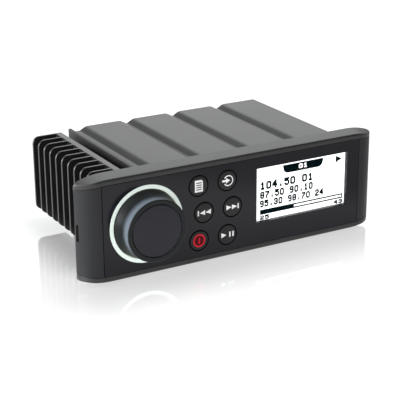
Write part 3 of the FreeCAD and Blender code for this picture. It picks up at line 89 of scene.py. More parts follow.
class Nodes:
    """The nodes of a material or of the sky."""

    def __init__(self, owner, shader):
        owner.use_nodes = True
        self.tree = owner.node_tree
        self.shader = self.tree.nodes[shader]

    def node(self, kind, settings, inputs, output=0):
        """Adds a node: its settings first, then the values or wires of its sockets."""
        made = self.tree.nodes.new("ShaderNode" + kind)
        for setting, value in settings.items():
            setattr(made, setting, value)
        for socket, value in inputs.items():
            self.feed(made.inputs[socket], value)
        return Wire(self, made.outputs[output])

    def feed(self, socket, value):
        if isinstance(value, Wire):
            self.tree.links.new(value.socket, socket)
        else:
            socket.default_value = value

    def vary(self, **values):
        """Feeds the shader's own sockets, with _ for a space in their names."""
        for socket, value in values.items():
            self.feed(self.shader.inputs[socket.replace("_", " ")], value)

    def ramp(self, value, low, high, first=0.0, second=1.0):
        """A smooth step from one number to another as the value goes from low to high."""
        return self.node("MapRange", {"interpolation_type": "SMOOTHSTEP"},
                         {0: value, 1: low, 2: high, 3: first, 4: second})

    def dot(self, first, second):
        """How far one vector reaches along another."""
        return self.node("VectorMath", {"operation": "DOT_PRODUCT"}, {0: first, 1: second}, 1)


scene = bpy.context.scene
scene.view_settings.view_transform = "Standard"
sky = Nodes(bpy.data.worlds.new("studio_sky"), "Background")
scene.world = bpy.data.worlds["studio_sky"]
heading = sky.node("TexCoord", {}, {}, "Generated")
SOFTBOXES = [  # degrees of turn from the right, degrees of rise, strength
    (150, 8, 10.0), (200, 8, 8.0), (165, 55, 2.2), (50, 52, 2.8), (67, 6, 1.3)]
SOFTBOX_EDGE, SOFTBOX_CORE = 34, 8.5  # degrees from the middle to no light and to full light
DIM_SKY = 0.12
glow = DIM_SKY
for turned, rise, strength in SOFTBOXES:
    towards = (Matrix.Rotation(math.radians(turned), 3, "Z")
               @ Matrix.Rotation(math.radians(-rise), 3, "Y") @ Vector((1, 0, 0)))
    glow = sky.ramp(sky.dot(heading, towards), math.cos(math.radians(SOFTBOX_EDGE)),
                    math.cos(math.radians(SOFTBOX_CORE)), 0, strength) + glow
seen = sky.node("LightPath", {}, {}, "Is Camera Ray")
sky.vary(Color=(0.98, 0.99, 1, 1), Strength=seen + (1 - seen) * glow)

# The bench: a plain white table that glows softly, with a lacquer that mirrors the unit and
# fades out round it. Its glow is cut under the chassis: a painted shadow. It is also dimmer far
# out to the right and the front, where the fascia mirrors it.
MM = 0.001
FLAT_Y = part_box("front_panel")[0].y


def at(x, y, z):
    """A point in millimetres, y measured back from the flat of the fascia."""
    return Vector((x * MM, FLAT_Y + y * MM, z * MM))


bpy.ops.object.select_all(action="DESELECT")
bpy.ops.mesh.primitive_plane_add(size=9)
bench = bpy.context.object
bench.name = "bench"
board = Nodes(bpy.data.materials.new("bench_lacquer"), "Principled BSDF")


def outside(low, high):
    """How far a point of the bench is from an oblong, given by two corners."""
    spot = board.node("TexCoord", {}, {}, "Object")
    for operation, other in (("SUBTRACT", (low + high) / 2), ("ABSOLUTE", (0, 0, 0)),
                             ("SUBTRACT", (high - low) / 2), ("MAXIMUM", (0, 0, 0))):
        spot = board.node("VectorMath", {"operation": operation}, {0: spot, 1: other})
    return board.node("VectorMath", {"operation": "LENGTH"}, {0: spot}, 1)


MIRROR_FADE, SHADE_FADE = 80 * MM, 28 * MM
SHADE_LEFT, DIM_SHARE = 0.42, 0.6
FAR_OUT = (0.797, -0.6225, 0)
DIM_START, DIM_FULL, DIM_EASES, DIM_ENDS = 108 * MM, 150 * MM, 190 * MM, 420 * MM
drawn_in = Vector((11, 11, 0)) * MM
polish = board.ramp(outside(cad_box[0] + drawn_in, cad_box[1] - drawn_in), 0, MIRROR_FADE, 1, 0)
# Painted shadow: the table's glow drops under the chassis.
shade = board.ramp(outside(at(-64, 33, 0), at(56, 90, 0)), 0, SHADE_FADE, SHADE_LEFT, 1)
out = board.dot(board.node("TexCoord", {}, {}, "Object"), FAR_OUT)
dimmed = (board.ramp(out, DIM_START, DIM_FULL, 0, DIM_SHARE)
          * board.ramp(out, DIM_ENDS, DIM_EASES))
white = board.node("Mix", {"data_type": "RGBA"},
                   {0: shade * (1 - dimmed), 6: (0, 0, 0, 1), 7: (1, 1, 1, 1)}, 2)
board.vary(Base_Color=(0.22, 0.22, 0.22, 1), Roughness=0.5, Specular_IOR_Level=0.0,
           Emission_Color=white, Emission_Strength=0.88, Coat_IOR=3.5,
           Coat_Roughness=0.03, Coat_Weight=polish * polish)
bench.data.materials.append(bpy.data.materials["bench_lacquer"])

# The camera: a long lens in front of the unit, to its left and a little above, where the
# photograph was taken from. It is turned about a point inside the unit.
CAMERA_TURN, CAMERA_RISE, CAMERA_ROLL = -29.4195, 19.9801, -0.4214
CAMERA_OFFSET = Vector((1.7053, -10.3723, 632.529)) * MM
CAMERA_LENS, CAMERA_SENSOR = 112.232, 36
camera = bpy.data.objects.new("photo_camera", bpy.data.cameras.new("photo_camera"))
camera.data.sensor_width = CAMERA_SENSOR
camera.data.lens = CAMERA_LENS
turn = (Matrix.Rotation(math.radians(CAMERA_TURN), 4, "Z")
        @ Matrix.Rotation(math.radians(90 - CAMERA_RISE), 4, "X")
        @ Matrix.Rotation(math.radians(CAMERA_ROLL), 4, "Z"))
camera.matrix_world = (Matrix.Translation(at(0, 40, 28)) @ turn
                       @ Matrix.Translation(CAMERA_OFFSET))
scene.collection.objects.link(camera)
scene.camera = camera


# The front housing: one glass-filled nylon moulding with the two rails, satin black from a
# finely sparked tool. Its outer edges are softened a little, as the tool's are.
class Finish(Nodes):
    """A material for the unit. Constants are set straight on the shader's sockets."""

    def __init__(self, name, **constants):
        self.material = bpy.data.materials.new(name)
        super().__init__(self.material, "Principled BSDF")
        self.vary(**constants)

    def place(self, stretch=(1, 1, 1)):
        """Where a point of the piece is, stretched along X, Y or Z."""
        point = self.node("TexCoord", {}, {}, "Object")
        return self.node("Mapping", {}, {"Vector": point, "Scale": stretch})

    def noise(self, size, detail=2.0, stretch=(1, 1, 1)):
        """Cloudy noise from 0 to 1, of a grain size in millimetres."""
        return self.node("TexNoise", {}, {"Vector": self.place(stretch), "Detail": detail,
                                          "Scale": 1 / (size * MM)})

    def mix(self, factor, first, second):
        """A colour between two."""
        return self.node("Mix", {"data_type": "RGBA"}, {0: factor, 6: first, 7: second}, 2)

    def relief(self, height, depth):
        """A bump from a height between 0 and 1, of a depth in millimetres."""
        return self.node("Bump", {}, {"Height": height, "Distance": depth * MM})

    def uneven(self, middle, *noises):
        """A value that wanders round a middle: pairs of a noise and how far it swings."""
        start = middle - sum(swing for noise, swing in noises) / 2
        return sum((noise * swing for noise, swing in noises), start)


def grey(value, tint=(1, 1, 1)):
    """A grey, or a grey with a tint."""
    return (value * tint[0], value * tint[1], value * tint[2], 1)


def moulded(name, shade, roughness, grain=0.35, depth=0.012, tint=(1, 1, 1), **constants):
    """Moulded plastic or rubber: a fine sparked grain, a faint cloudiness in its gloss."""
    finish = Finish(name, **constants)
    cloud = finish.noise(14, 3)
    sparked = finish.noise(grain, 3)
    finish.vary(
        Base_Color=finish.mix(cloud, grey(shade * 0.85, tint), grey(shade * 1.15, tint)),
        Roughness=finish.uneven(roughness, (cloud, 0.08), (sparked, 0.06)),
        Normal=finish.relief(sparked, depth))
    return finish.material


def alone(piece):
    """Makes a piece the only one selected, and the active one."""
    bpy.ops.object.select_all(action="DESELECT")
    piece.select_set(True)
    bpy.context.view_layer.objects.active = piece
    return piece


def shaped(piece, kind, **settings):
    """Gives a piece a modifier and applies it."""
    alone(piece)
    step = piece.modifiers.new(kind.lower(), kind)
    for setting, value in settings.items():
        setattr(step, setting, value)
    bpy.ops.object.modifier_apply(modifier=step.name)
    return piece


def smoothed(piece, angle=42):
    """Shades a piece smooth, apart from edges that turn by more than an angle."""
    alone(piece)
    bpy.ops.object.shade_smooth_by_angle(angle=math.radians(angle))
    return shaped(piece, "WEIGHTED_NORMAL", keep_sharp=True)


def handed_in(piece, body, slot, *nodes):
    """Ties a finished piece to its body and hides the CAD nodes that it stands for. The slot is
    not used.
    """
    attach(piece, body)
    if nodes:
        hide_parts(*nodes)
    return piece


def sharper(piece, angle):
    """The numbers of the edges that turn by more than an angle, left selected in edit mode."""
    bpy.ops.mesh.select_mode(type="EDGE")
    bpy.ops.mesh.select_all(action="DESELECT")
    bpy.ops.mesh.edges_select_sharp(sharpness=math.radians(angle))
    piece.update_from_editmode()
    return {line.index for line in piece.data.edges if line.select}


def dressed(node, body, material, edge=0.2, segments=2, sharp=30, slot=None,
            wide=0.0, turning=(12, 60), chosen=None):
    """A copy of a CAD piece with its facets joined and its edges rounded, shown for it.

    Edges that turn by so many degrees and whose corners are chosen take a wider rounding."""
    piece = bpy.data.objects.new(node + ".finished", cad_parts[node].data.copy())
    scene.collection.objects.link(piece)
    alone(piece)
    bpy.ops.object.mode_set(mode="EDIT")
    bpy.ops.mesh.select_all(action="SELECT")
    bpy.ops.mesh.customdata_custom_splitnormals_clear()
    bpy.ops.mesh.remove_doubles(threshold=0.002 * MM)
    bpy.ops.mesh.dissolve_limited(angle_limit=math.radians(0.4))
    if wide:
        bends = sharper(piece, turning[0]) - sharper(piece, turning[1])
        bpy.ops.mesh.select_all(action="DESELECT")
        bpy.ops.object.mode_set(mode="OBJECT")
        points = piece.data.vertices
        for line in piece.data.edges:
            line.select = line.index in bends and all(
                chosen(points[corner].co) for corner in line.vertices)
        bpy.ops.object.mode_set(mode="EDIT")
        bpy.ops.mesh.bevel(offset=wide * MM, segments=5, clamp_overlap=False)
    bpy.ops.object.mode_set(mode="OBJECT")
    shaped(piece, "BEVEL", width=edge * MM, segments=segments, limit_method="ANGLE",
           angle_limit=math.radians(sharp), use_clamp_overlap=False, miter_outer="MITER_ARC")
    smoothed(piece, sharp + 12)
    piece.data.materials.clear()
    piece.data.materials.append(material)
    return handed_in(piece, body, slot or node, node)


def finished(node, material):
    """A CAD piece that keeps its own shape and takes a finish."""
    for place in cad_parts[node].material_slots:
        place.material = material


nylon = moulded("front_nylon", shade=0.02, roughness=0.36)
dressed("front_housing", "root", nylon, edge=0.18)

# The two end covers: small mouldings of the same nylon that clip over the mounting screws,
# each with a notch on its outer edge for a coin or a blade.
cover_nylon = moulded("cover_nylon", shade=0.016, roughness=0.44, grain=0.3, depth=0.006,
                      tint=(0.95, 0.97, 1.1), Specular_IOR_Level=0.3)
for side in ("left", "right"):
    dressed("screw_cover_" + side, "cover_" + side, cover_nylon, edge=0.05,
            slot="screw_covers")

# The fascia plate: a flat black moulding, a little glossier than the housing, with openings
# for the ring, the keys and the lens. Their edges are broken slightly.
fascia_black = moulded("fascia_black", shade=0.004, roughness=0.14, grain=0.3,
                       depth=0.0015, tint=(1.0, 0.95, 1.9), Specular_IOR_Level=0.32)
dressed("front_panel", "root", fascia_black, edge=0.06)

# The lit ring round the knob: a milky acrylic light guide that glows pale green all round.
# Eight lamps on the control board light it, and a black nylon collar closes its inside.
acrylic = Finish("ring_acrylic", IOR=1.49, Emission_Strength=0.43)
cloud = acrylic.noise(3)
acrylic.vary(
    Base_Color=acrylic.mix(cloud, (0.53, 0.6, 0.56, 1), (0.58, 0.65, 0.61, 1)),
    Emission_Color=acrylic.mix(cloud, (0.79, 0.89, 0.82, 1), (0.85, 0.95, 0.88, 1)),
    Roughness=acrylic.uneven(0.26, (cloud, 0.08)),
    Normal=acrylic.relief(acrylic.noise(0.4), 0.004))
dressed("light_ring", "root", acrylic.material, edge=0.2, segments=3)
lamp_epoxy = Finish("lamp_epoxy", Emission_Strength=1.2, Roughness=0.3)
cloud = lamp_epoxy.noise(0.5)
lamp_epoxy.vary(
    Base_Color=lamp_epoxy.mix(cloud, (0.8, 0.85, 0.6, 1), (0.9, 0.95, 0.75, 1)),
    Emission_Color=lamp_epoxy.mix(cloud, (0.5, 0.9, 0.6, 1), (0.6, 1, 0.7, 1)))
finished("ring_lamps", lamp_epoxy.material)
finished("knob_collar", moulded("collar_nylon", shade=0.012, roughness=0.45))


# The knob: turned aluminium, anodised dark, with a waisted side, and a flat disc of the same
# metal let into its front behind a fine groove. The pale bluish band round the side near the
# rim is a painted highlight.
def anodised(name, shade, roughness, metal, tint=(1, 1, 1), stretch=(1, 1, 1), grain=0.3,
             gloss=0.4):
    """Dyed, anodised aluminium: fine tool or die lines under a thin hard skin."""
    finish = Finish(name, Metallic=metal, Specular_IOR_Level=gloss)
    cloud = finish.noise(9, 3)
    lines = finish.noise(grain, 3, stretch)
    finish.vary(
        Base_Color=finish.mix(cloud, grey(shade * 0.85, tint), grey(shade * 1.15, tint)),
        Roughness=finish.uneven(roughness, (cloud, 0.08), (lines, 0.1)),
        Normal=finish.relief(lines, 0.004))
    return finish.material


grip = Finish("knob_anodised", Metallic=0.2, Specular_IOR_Level=0.24)
back = grip.dot(grip.place(), (0, 1, 0))
# Painted highlight: a pale bluish band round the knob's side, near the rim.
BAND_BACK, BAND_FRONT = (at(0, y, 0).y for y in (-4, -10.6))
painted_highlight = (grip.ramp(back, BAND_BACK, BAND_BACK - 3.5 * MM)
        * grip.ramp(back, BAND_FRONT, BAND_FRONT + 0.8 * MM))
lathe = grip.noise(0.25, 3, (1, 0.15, 1))
grip.vary(
    Base_Color=grip.mix(painted_highlight, (0.011, 0.013, 0.013, 1), (0.125, 0.15, 0.185, 1)),
    Roughness=grip.uneven(0.38, (lathe, 0.1)), Normal=grip.relief(lathe, 0.003))
cap_metal = anodised("cap_anodised", shade=0.009, roughness=0.34, metal=0.2,
                     tint=(1, 0.92, 1.7))
dressed("knob_body", "knob", grip.material, edge=0.12)
dressed("knob_cap", "knob", cap_metal, edge=0.12)


# The rotary encoder behind the knob: a plated can with its bushing, a turned steel shaft
# with a flat, and the carbon contact rotor inside.
def plated(name, shade, roughness, tint=(1, 0.98, 0.94), grain=0.25):
    """Bright or dull plating: metal with a faint orange peel."""
    finish = Finish(name, Metallic=1.0)
    cloud = finish.noise(5, 3)
    peel = finish.noise(grain)
    finish.vary(
        Base_Color=finish.mix(cloud, grey(shade * 0.88, tint), grey(shade, tint)),
        Roughness=finish.uneven(roughness, (cloud, 0.1), (peel, 0.06)),
        Normal=finish.relief(peel, 0.004))
    return finish.material


zinc = plated("zinc_plate", shade=0.72, roughness=0.32)
finished("encoder_body", zinc)
finished("encoder_shaft", plated("nickel_plate", shade=0.8, roughness=0.22))
finished("encoder_rotor", moulded("rotor_carbon", shade=0.03, roughness=0.5))


# The six keys: round caps moulded in black, slightly domed. Their dull sides take a near black
# that hardly reflects: painted shade for the gap round each key. Each has a printed sign, a
# thin film of white ink that follows the dome. The power key's is red.
def drawn(name, outlines, thick=0.0):
    """A filled drawing that lies flat, from closed outlines in millimetres."""
    drawing = bpy.data.curves.new(name, "CURVE")
    drawing.dimensions = "2D"
    drawing.fill_mode = "BOTH"
    drawing.extrude = thick / 2 * MM
    for corners in outlines:
        spline = drawing.splines.new("POLY")
        spline.points.add(len(corners) - 1)
        for point, (x, z) in zip(spline.points, corners):
            point.co = (x * MM, z * MM, 0, 1)
        spline.use_cyclic_u = True
    piece = bpy.data.objects.new(name, drawing)
    scene.collection.objects.link(piece)
    alone(piece)
    bpy.ops.object.convert(target="MESH")
    bpy.ops.object.mode_set(mode="EDIT")
    bpy.ops.mesh.select_all(action="SELECT")
    bpy.ops.mesh.remove_doubles(threshold=0.002 * MM)
    bpy.ops.object.mode_set(mode="OBJECT")
    return bpy.context.object


def placed(piece, place):
    """Stands a mesh that lies flat up, facing the front, at a place."""
    alone(piece)
    piece.rotation_euler = (math.radians(90), 0, 0)
    piece.location = place
    bpy.ops.object.transform_apply()
    return piece


def arc(x, z, radius, start=0.0, end=360.0, count=40):
    """Points round a circle or an arc, in degrees from the right."""
    steps = count if end - start == 360.0 else count - 1
    turns = [math.radians(start + (end - start) * i / steps) for i in range(count)]
    return [(x + radius * math.cos(a), z + radius * math.sin(a)) for a in turns]


def bar(x0, x1, z0, z1):
    """An upright oblong between two widths and two heights."""
    return [(x0, z0), (x1, z0), (x1, z1), (x0, z1)]


def arrow(base, tip, half=1.25):
    """A triangle that lies on its side."""
    return [(base, -half), (tip, 0), (base, half)]


def ink(name, low, high, glow=0.0, gloss=0.5):
    """Matt ink or film, a little uneven."""
    finish = Finish(name, Specular_IOR_Level=gloss, Emission_Strength=glow)
    cloud = finish.noise(0.6, 3)
    colour = finish.mix(cloud, low, high)
    finish.vary(Base_Color=colour, Emission_Color=colour,
                Roughness=finish.uneven(0.475, (cloud, 0.15)))
    return finish.material


key_black = moulded("key_black", shade=0.01, roughness=0.3, grain=0.25, depth=0.008,
                    Specular_IOR_Level=0.32)
# Painted shade: a near black that hardly reflects, for the key sides in the gap round each key.
rim_painted_shade = moulded("rim_painted_shade", shade=0.002, roughness=0.7, Specular_IOR_Level=0.05)
white_ink = ink("white_ink", grey(0.68), grey(0.76), glow=0.3)
red_ink = ink("red_ink", (0.42, 0.01, 0.02, 1), (0.5, 0.014, 0.026, 1), glow=0.45, gloss=0.1)
dim_red = ink("dim_red", (0.06, 0.001, 0.004, 1), (0.08, 0.002, 0.006, 1), glow=0.4,
              gloss=0.1)

PAGE = [(-2.1, -3.0), (2.2, -3.0), (2.2, 2.1), (1.4, 2.9), (-2.1, 2.9)]
PAGE_LINES = [bar(-1.4, 1.5, z - 0.26, z + 0.26) for z in (1.5, 0.4, -0.7, -1.8)]
SOURCE_RING = arc(0.4, -0.1, 2.7, -145, 145) + arc(0.4, -0.1, 2.2, -145, 145)[::-1]
SOURCE_ARROW = [(-2.9, -0.5), (-0.9, -0.5), (-0.9, -1.4), (1.4, 0), (-0.9, 1.4),
                (-0.9, 0.5), (-2.9, 0.5)]
POWER_BAR = bar(-0.38, 0.38, -1.4, 1.5)
SIGNS = {
    "menu": [PAGE] + PAGE_LINES,
    "source": [SOURCE_RING, SOURCE_ARROW],
    "previous": [bar(-3.5, -2.8, -1.3, 1.3), arrow(0.5, -2.4), arrow(3.7, 0.7)],
    "next": [arrow(-3.4, -0.6), arrow(-0.4, 2.5), bar(2.8, 3.5, -1.3, 1.3)],
    "power": [arc(0, 0, 3.3), arc(0, 0, 2.5), POWER_BAR],
    "play": [arrow(-3.4, -0.7), bar(0.9, 1.7, -1.3, 1.3), bar(2.7, 3.5, -1.3, 1.3)],
}
FILM_THICK = 0.08
IN_FRONT = Vector((0, -1.6, 0)) * MM
DOME_NORMAL = -0.93  # a face that looks less to the front than this is a side


def printed(key, name, outlines, cap, film):
    """Prints a drawing on a key: a thin film that follows the cap."""
    low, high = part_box(key + "_button")
    middle = (low + high) / 2
    sign = placed(drawn(name, outlines), Vector((middle.x, FLAT_Y, middle.z)) + IN_FRONT)
    bpy.ops.object.mode_set(mode="EDIT")
    bpy.ops.mesh.select_all(action="SELECT")
    bpy.ops.mesh.quads_convert_to_tris()
    bpy.ops.mesh.subdivide(number_cuts=4)
    bpy.ops.object.mode_set(mode="OBJECT")
    shaped(sign, "SHRINKWRAP", target=cap, wrap_method="PROJECT", use_project_x=False,
           use_project_y=True, use_negative_direction=True, use_positive_direction=True)
    shaped(sign, "SOLIDIFY", thickness=FILM_THICK * MM, offset=0)
    sign.data.materials.append(film)
    handed_in(sign, key + "_key", "keys")


for key, sign in SIGNS.items():
    cap = dressed(key + "_button", key + "_key", key_black, edge=0.03, slot="keys",
                  wide=0.45, turning=(60, 180), chosen=lambda corner: corner.y < FLAT_Y)
    # The sides of the cap take the painted shade.
    cap.data.materials.append(rim_painted_shade)
    for face in cap.data.polygons:
        face.material_index = int(face.normal.y > DOME_NORMAL)
    printed(key, key + "_sign", sign, cap, red_ink if key == "power" else white_ink)
    if key == "power":
        printed(key, "power_glow", [arc(0, 0, 2.4), POWER_BAR], cap, dim_red)

# The snap switches under the keys: sprung metal domes on the front board. A silicone guide
# holds the caps in line over them.
finished("key_switches", plated("switch_dome", shade=0.75, roughness=0.25))
finished("key_guide", moulded("guide_silicone", shade=0.05, roughness=0.6, depth=0.01))

# The display: a lit liquid crystal module behind a clear acrylic lens. Its dark marks stand
# in the gap between the two, and show a tab, an arrow, a bar that is part filled, and lines
# and counts of numbers only.
lens = Finish("lens_acrylic", Metallic=1.0, Roughness=0.03)
smear = lens.noise(9, 3)
glance = lens.node("LayerWeight", {}, {}, "Facing")
lens.vary(Base_Color=lens.mix(smear, grey(0.94), grey(1.0)),
          Alpha=lens.ramp(glance, 0.72, 1, 0, 0.6))
lens_low, lens_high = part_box("display_window")
LENS_THICK = 1.85  # thinner than the CAD lens by the gap for the marks
MARKS_BACK, TAB_COUNT_BACK, MARK_THICK = 1.95, 1.9, 0.04
bpy.ops.object.select_all(action="DESELECT")
bpy.ops.mesh.primitive_cube_add(size=1)
pane = bpy.context.object
pane.name = "display_lens"
pane.scale = (lens_high.x - lens_low.x, LENS_THICK * MM, lens_high.z - lens_low.z)
pane.location = ((lens_low.x + lens_high.x) / 2, FLAT_Y + LENS_THICK / 2 * MM,
                 (lens_low.z + lens_high.z) / 2)
bpy.ops.object.transform_apply()
shaped(pane, "BEVEL", width=0.1 * MM, segments=2)
smoothed(pane)
pane.data.materials.append(lens.material)
handed_in(pane, "root", "display_window", "display_window")

PIXEL, PIXEL_FILL = 0.415, 0.9
lit = Finish("lit_glass", Roughness=0.3, Emission_Strength=1.12)
dots = lit.place((1 / (PIXEL * MM),) * 3)
columns, rows = (lit.dot(dots, axis) for axis in ((1, 0, 0), (0, 0, 1)))
between = columns.math("MAXIMUM", columns.math("FRACT", columns) > PIXEL_FILL,
                       rows.math("FRACT", rows) > PIXEL_FILL)
lit.vary(Base_Color=lit.mix(between, (0.76, 0.78, 0.77, 1), (0.68, 0.7, 0.7, 1)),
         Emission_Color=lit.mix(between, (0.98, 1, 1, 1), (0.9, 0.92, 0.93, 1)))
finished("display_module", lit.material)

DIGITS = {  # seven rows of five dots, from the top, each row a binary number
    "0": (14, 17, 17, 17, 17, 17, 14), "1": (4, 12, 4, 4, 4, 4, 14),
    "2": (14, 17, 1, 6, 8, 16, 31), "3": (14, 17, 1, 6, 1, 17, 14),
    "4": (2, 6, 10, 18, 31, 2, 2), "5": (31, 16, 30, 1, 1, 17, 14),
    "6": (14, 16, 30, 17, 17, 17, 14), "7": (31, 1, 2, 4, 8, 8, 8),
    "8": (14, 17, 17, 14, 17, 17, 14), "9": (14, 17, 17, 15, 1, 1, 14),
    ".": (0, 0, 0, 0, 0, 4, 4), " ": (0,) * 7,
}
CELLS_WIDE, CELLS_HIGH = 7, 8  # of a digit, with the gap beside it


def spelled(name, text, x0, x1, z0, z1, y=MARKS_BACK):
    """Digits cut out of a flat grid of cells that fills a place. A dot is two cells wide."""
    columns = CELLS_WIDE * len(text) - 1
    bpy.ops.object.select_all(action="DESELECT")
    bpy.ops.mesh.primitive_grid_add(x_subdivisions=columns, y_subdivisions=CELLS_HIGH, size=2)
    cells = bpy.context.object
    cells.name = name
    bpy.ops.object.mode_set(mode="EDIT")
    bpy.ops.mesh.select_mode(type="FACE")
    bpy.ops.mesh.select_all(action="DESELECT")
    bpy.ops.object.mode_set(mode="OBJECT")
    for face in cells.data.polygons:
        sign, place = divmod(int((face.center.x + 1) / 2 * columns), CELLS_WIDE)
        row = int((1 - face.center.y) / 2 * CELLS_HIGH)
        rows = (0, *DIGITS[text[sign]], 0)
        dots = rows[row] | rows[row + 1]
        inked = (dots | dots << 1) << 1
        face.select = not inked >> (CELLS_WIDE - 1 - place) & 1
    bpy.ops.object.mode_set(mode="EDIT")
    bpy.ops.mesh.delete(type="FACE")
    bpy.ops.object.mode_set(mode="OBJECT")
    cells.scale = ((x1 - x0) / 2 * MM, (z1 - z0) / 2 * MM, MM)
    bpy.ops.object.transform_apply()
    placed(cells, at((x0 + x1) / 2, y, (z0 + z1) / 2))
    return shaped(cells, "SOLIDIFY", thickness=MARK_THICK * MM, offset=0)


TAB = ([(51.0, 41.8), (27.1, 41.8)] + arc(30.1, 40.3, 2.7, 185, 270, 9)
       + arc(48.0, 40.3, 2.7, 270, 355, 9))
DRAWN_MARKS = {
    "display_tab": [TAB],
    "display_arrow": [[(58.6, 37.9), (62.3, 39.7), (58.6, 41.5)]],
    "display_bar": [bar(14.1, 63.4, 18.4, 20.9), bar(34.0, 62.7, 19.1, 20.2)],
}
SPELLED_MARKS = {
    "display_line_1": ("104.50 01", 14.0, 45.0, 31.2, 35.3),
    "display_line_2": ("87.50 90.10", 14.1, 45.0, 26.6, 30.3),
    "display_line_3": ("95.30 98.70 24", 13.9, 51.6, 22.2, 25.8),
    "display_count_1": ("25", 14.1, 19.3, 15.75, 17.95),
    "display_count_2": ("43", 58.2, 63.4, 15.75, 17.95),
}
crystal = ink("dark_crystal", (0.002, 0.007, 0.009, 1), (0.003, 0.01, 0.012, 1), gloss=0.0)
clear = ink("clear_crystal", grey(0.8), grey(0.85), glow=1.0)
MARKS = {name: placed(drawn(name, outlines, MARK_THICK), at(0, MARKS_BACK, 0))
         for name, outlines in DRAWN_MARKS.items()}
MARKS.update((name, spelled(name, *text_and_sides))
             for name, text_and_sides in SPELLED_MARKS.items())
MARKS["display_tab_count"] = spelled("display_tab_count", "01", 36.4, 41.6, 38.7, 41.1,
                                     TAB_COUNT_BACK)
for name, mark in MARKS.items():
    mark.data.materials.append(clear if name == "display_tab_count" else crystal)
    handed_in(mark, "root", "display_module")


# The boards: glass laminate with green solder resist over the copper. The snap switches,
# lamps and display sit on the front one, the amplifier on the other.
def board_finish(name):
    """Solder resist: green, darker between the tracks, which stand up a little."""
    finish = Finish(name)
    tracks = finish.ramp(finish.noise(2.2, 0, (1, 1, 0.35)), 0.47, 0.53)
    finish.vary(
        Base_Color=finish.mix(tracks, (0.006, 0.06, 0.02, 1), (0.012, 0.12, 0.04, 1)),
        Roughness=finish.uneven(0.28, (tracks, 0.08)), Normal=finish.relief(tracks, 0.03))
    return finish.material


resist = board_finish("green_resist")
finished("control_board", resist)
finished("main_board", resist)

# The seal behind the fascia plate is soft rubber, and the mounting gasket behind the
# flange is closed-cell foam, so its surface is finely pitted.
finished("panel_seal", moulded("seal_rubber", shade=0.015, roughness=0.7))
gasket_foam = moulded("gasket_foam", shade=0.012, roughness=0.8, grain=0.5, depth=0.05)
finished("mounting_gasket", gasket_foam)


# The chassis: a folded steel tray and a pressed steel lid with four raised panels, both
# powder coated black. The coat has a faint orange peel and softens every fold.
def coated(name, shade, roughness, **constants):
    """Powder coat on sheet steel."""
    finish = Finish(name, **constants)
    cloud = finish.noise(22, 3)
    peel = finish.noise(0.9, 1)
    finish.vary(
        Base_Color=finish.mix(cloud, grey(shade * 0.88), grey(shade * 1.12)),
        Roughness=finish.uneven(roughness, (cloud, 0.06), (peel, 0.05)),
        Normal=finish.relief(peel, 0.012))
    return finish.material


lid_coat = coated("lid_coat", shade=0.02, roughness=0.355, Specular_IOR_Level=0.37)
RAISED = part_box("chassis_lid")[1].z - 0.7 * MM
dressed("chassis_lid", "root", lid_coat, edge=0.3, sharp=15,
        wide=1.1, chosen=lambda corner: corner.z > RAISED)
# Painted shade: the tray's coat is darker and duller than the lid's, for its upstand beside the
# heatsink, which lies in shadow.
tray_coat = coated("tray_coat", shade=0.01, roughness=0.415, Specular_IOR_Level=0.25)
dressed("chassis_tray", "root", tray_coat, edge=0.25)

# The heatsink: an aluminium extrusion, anodised black, with a thick base and eleven fins.
# Die lines run up it, and the edges of the fins catch the light.
sink = anodised("sink_anodised", shade=0.01, roughness=0.34, metal=0.1,
                stretch=(1, 1, 0.04), grain=0.2, gloss=0.75)
dressed("heatsink", "root", sink, edge=0.22, segments=3)

# The rear panel: sheet steel, powder coated black. Four folded lugs of zinc plated steel in
# the corners of the tray take its screws.
dressed("rear_panel", "root", coated("rear_coat", shade=0.018, roughness=0.395), edge=0.15)
finished("rear_brackets", zinc)


# The screws: pan heads with a pressed cross recess, plated black on the outside of the unit
# and in plain zinc on the boards. Those inside, which no one sees, keep their CAD shape.
HEAD_RADIUS, HEAD_HEIGHT, HEAD_ROUNDING = 2.4 * MM, 1.2 * MM, 0.45 * MM
RECESS = Vector((2.5, 0.62, 1.5)) * MM
SHANK_RADIUS, SHANK_LENGTH, SHANK_IN_HEAD = 1.2 * MM, 2.6 * MM, 0.1 * MM


def screw(place, towards):
    """A pan head screw whose seat is at a place and whose head points towards a side."""
    bpy.ops.object.select_all(action="DESELECT")
    bpy.ops.mesh.primitive_cylinder_add(vertices=32, radius=HEAD_RADIUS, depth=HEAD_HEIGHT,
                                        location=(0, 0, HEAD_HEIGHT / 2))
    head = bpy.context.object
    bpy.ops.object.transform_apply()
    shaped(head, "BEVEL", width=HEAD_ROUNDING, segments=4, limit_method="ANGLE")
    for turned in (0, 90):
        bpy.ops.object.select_all(action="DESELECT")
        bpy.ops.mesh.primitive_cube_add(size=1, location=(0, 0, HEAD_HEIGHT))
        cutter = bpy.context.object
        cutter.scale = RECESS
        cutter.rotation_euler.z = math.radians(turned)
        bpy.ops.object.transform_apply()
        shaped(head, "BOOLEAN", operation="DIFFERENCE", object=cutter, solver="EXACT")
        bpy.data.objects.remove(cutter)
    bpy.ops.object.select_all(action="DESELECT")
    bpy.ops.mesh.primitive_cylinder_add(vertices=24, radius=SHANK_RADIUS, depth=SHANK_LENGTH,
                                        location=(0, 0, SHANK_IN_HEAD - SHANK_LENGTH / 2))
    head.select_set(True)
    bpy.context.view_layer.objects.active = head
    bpy.ops.object.join()
    head.rotation_euler = Vector(towards).to_track_quat("Z", "Y").to_euler()
    head.location = place
    bpy.ops.object.transform_apply()
    return smoothed(head, 35)


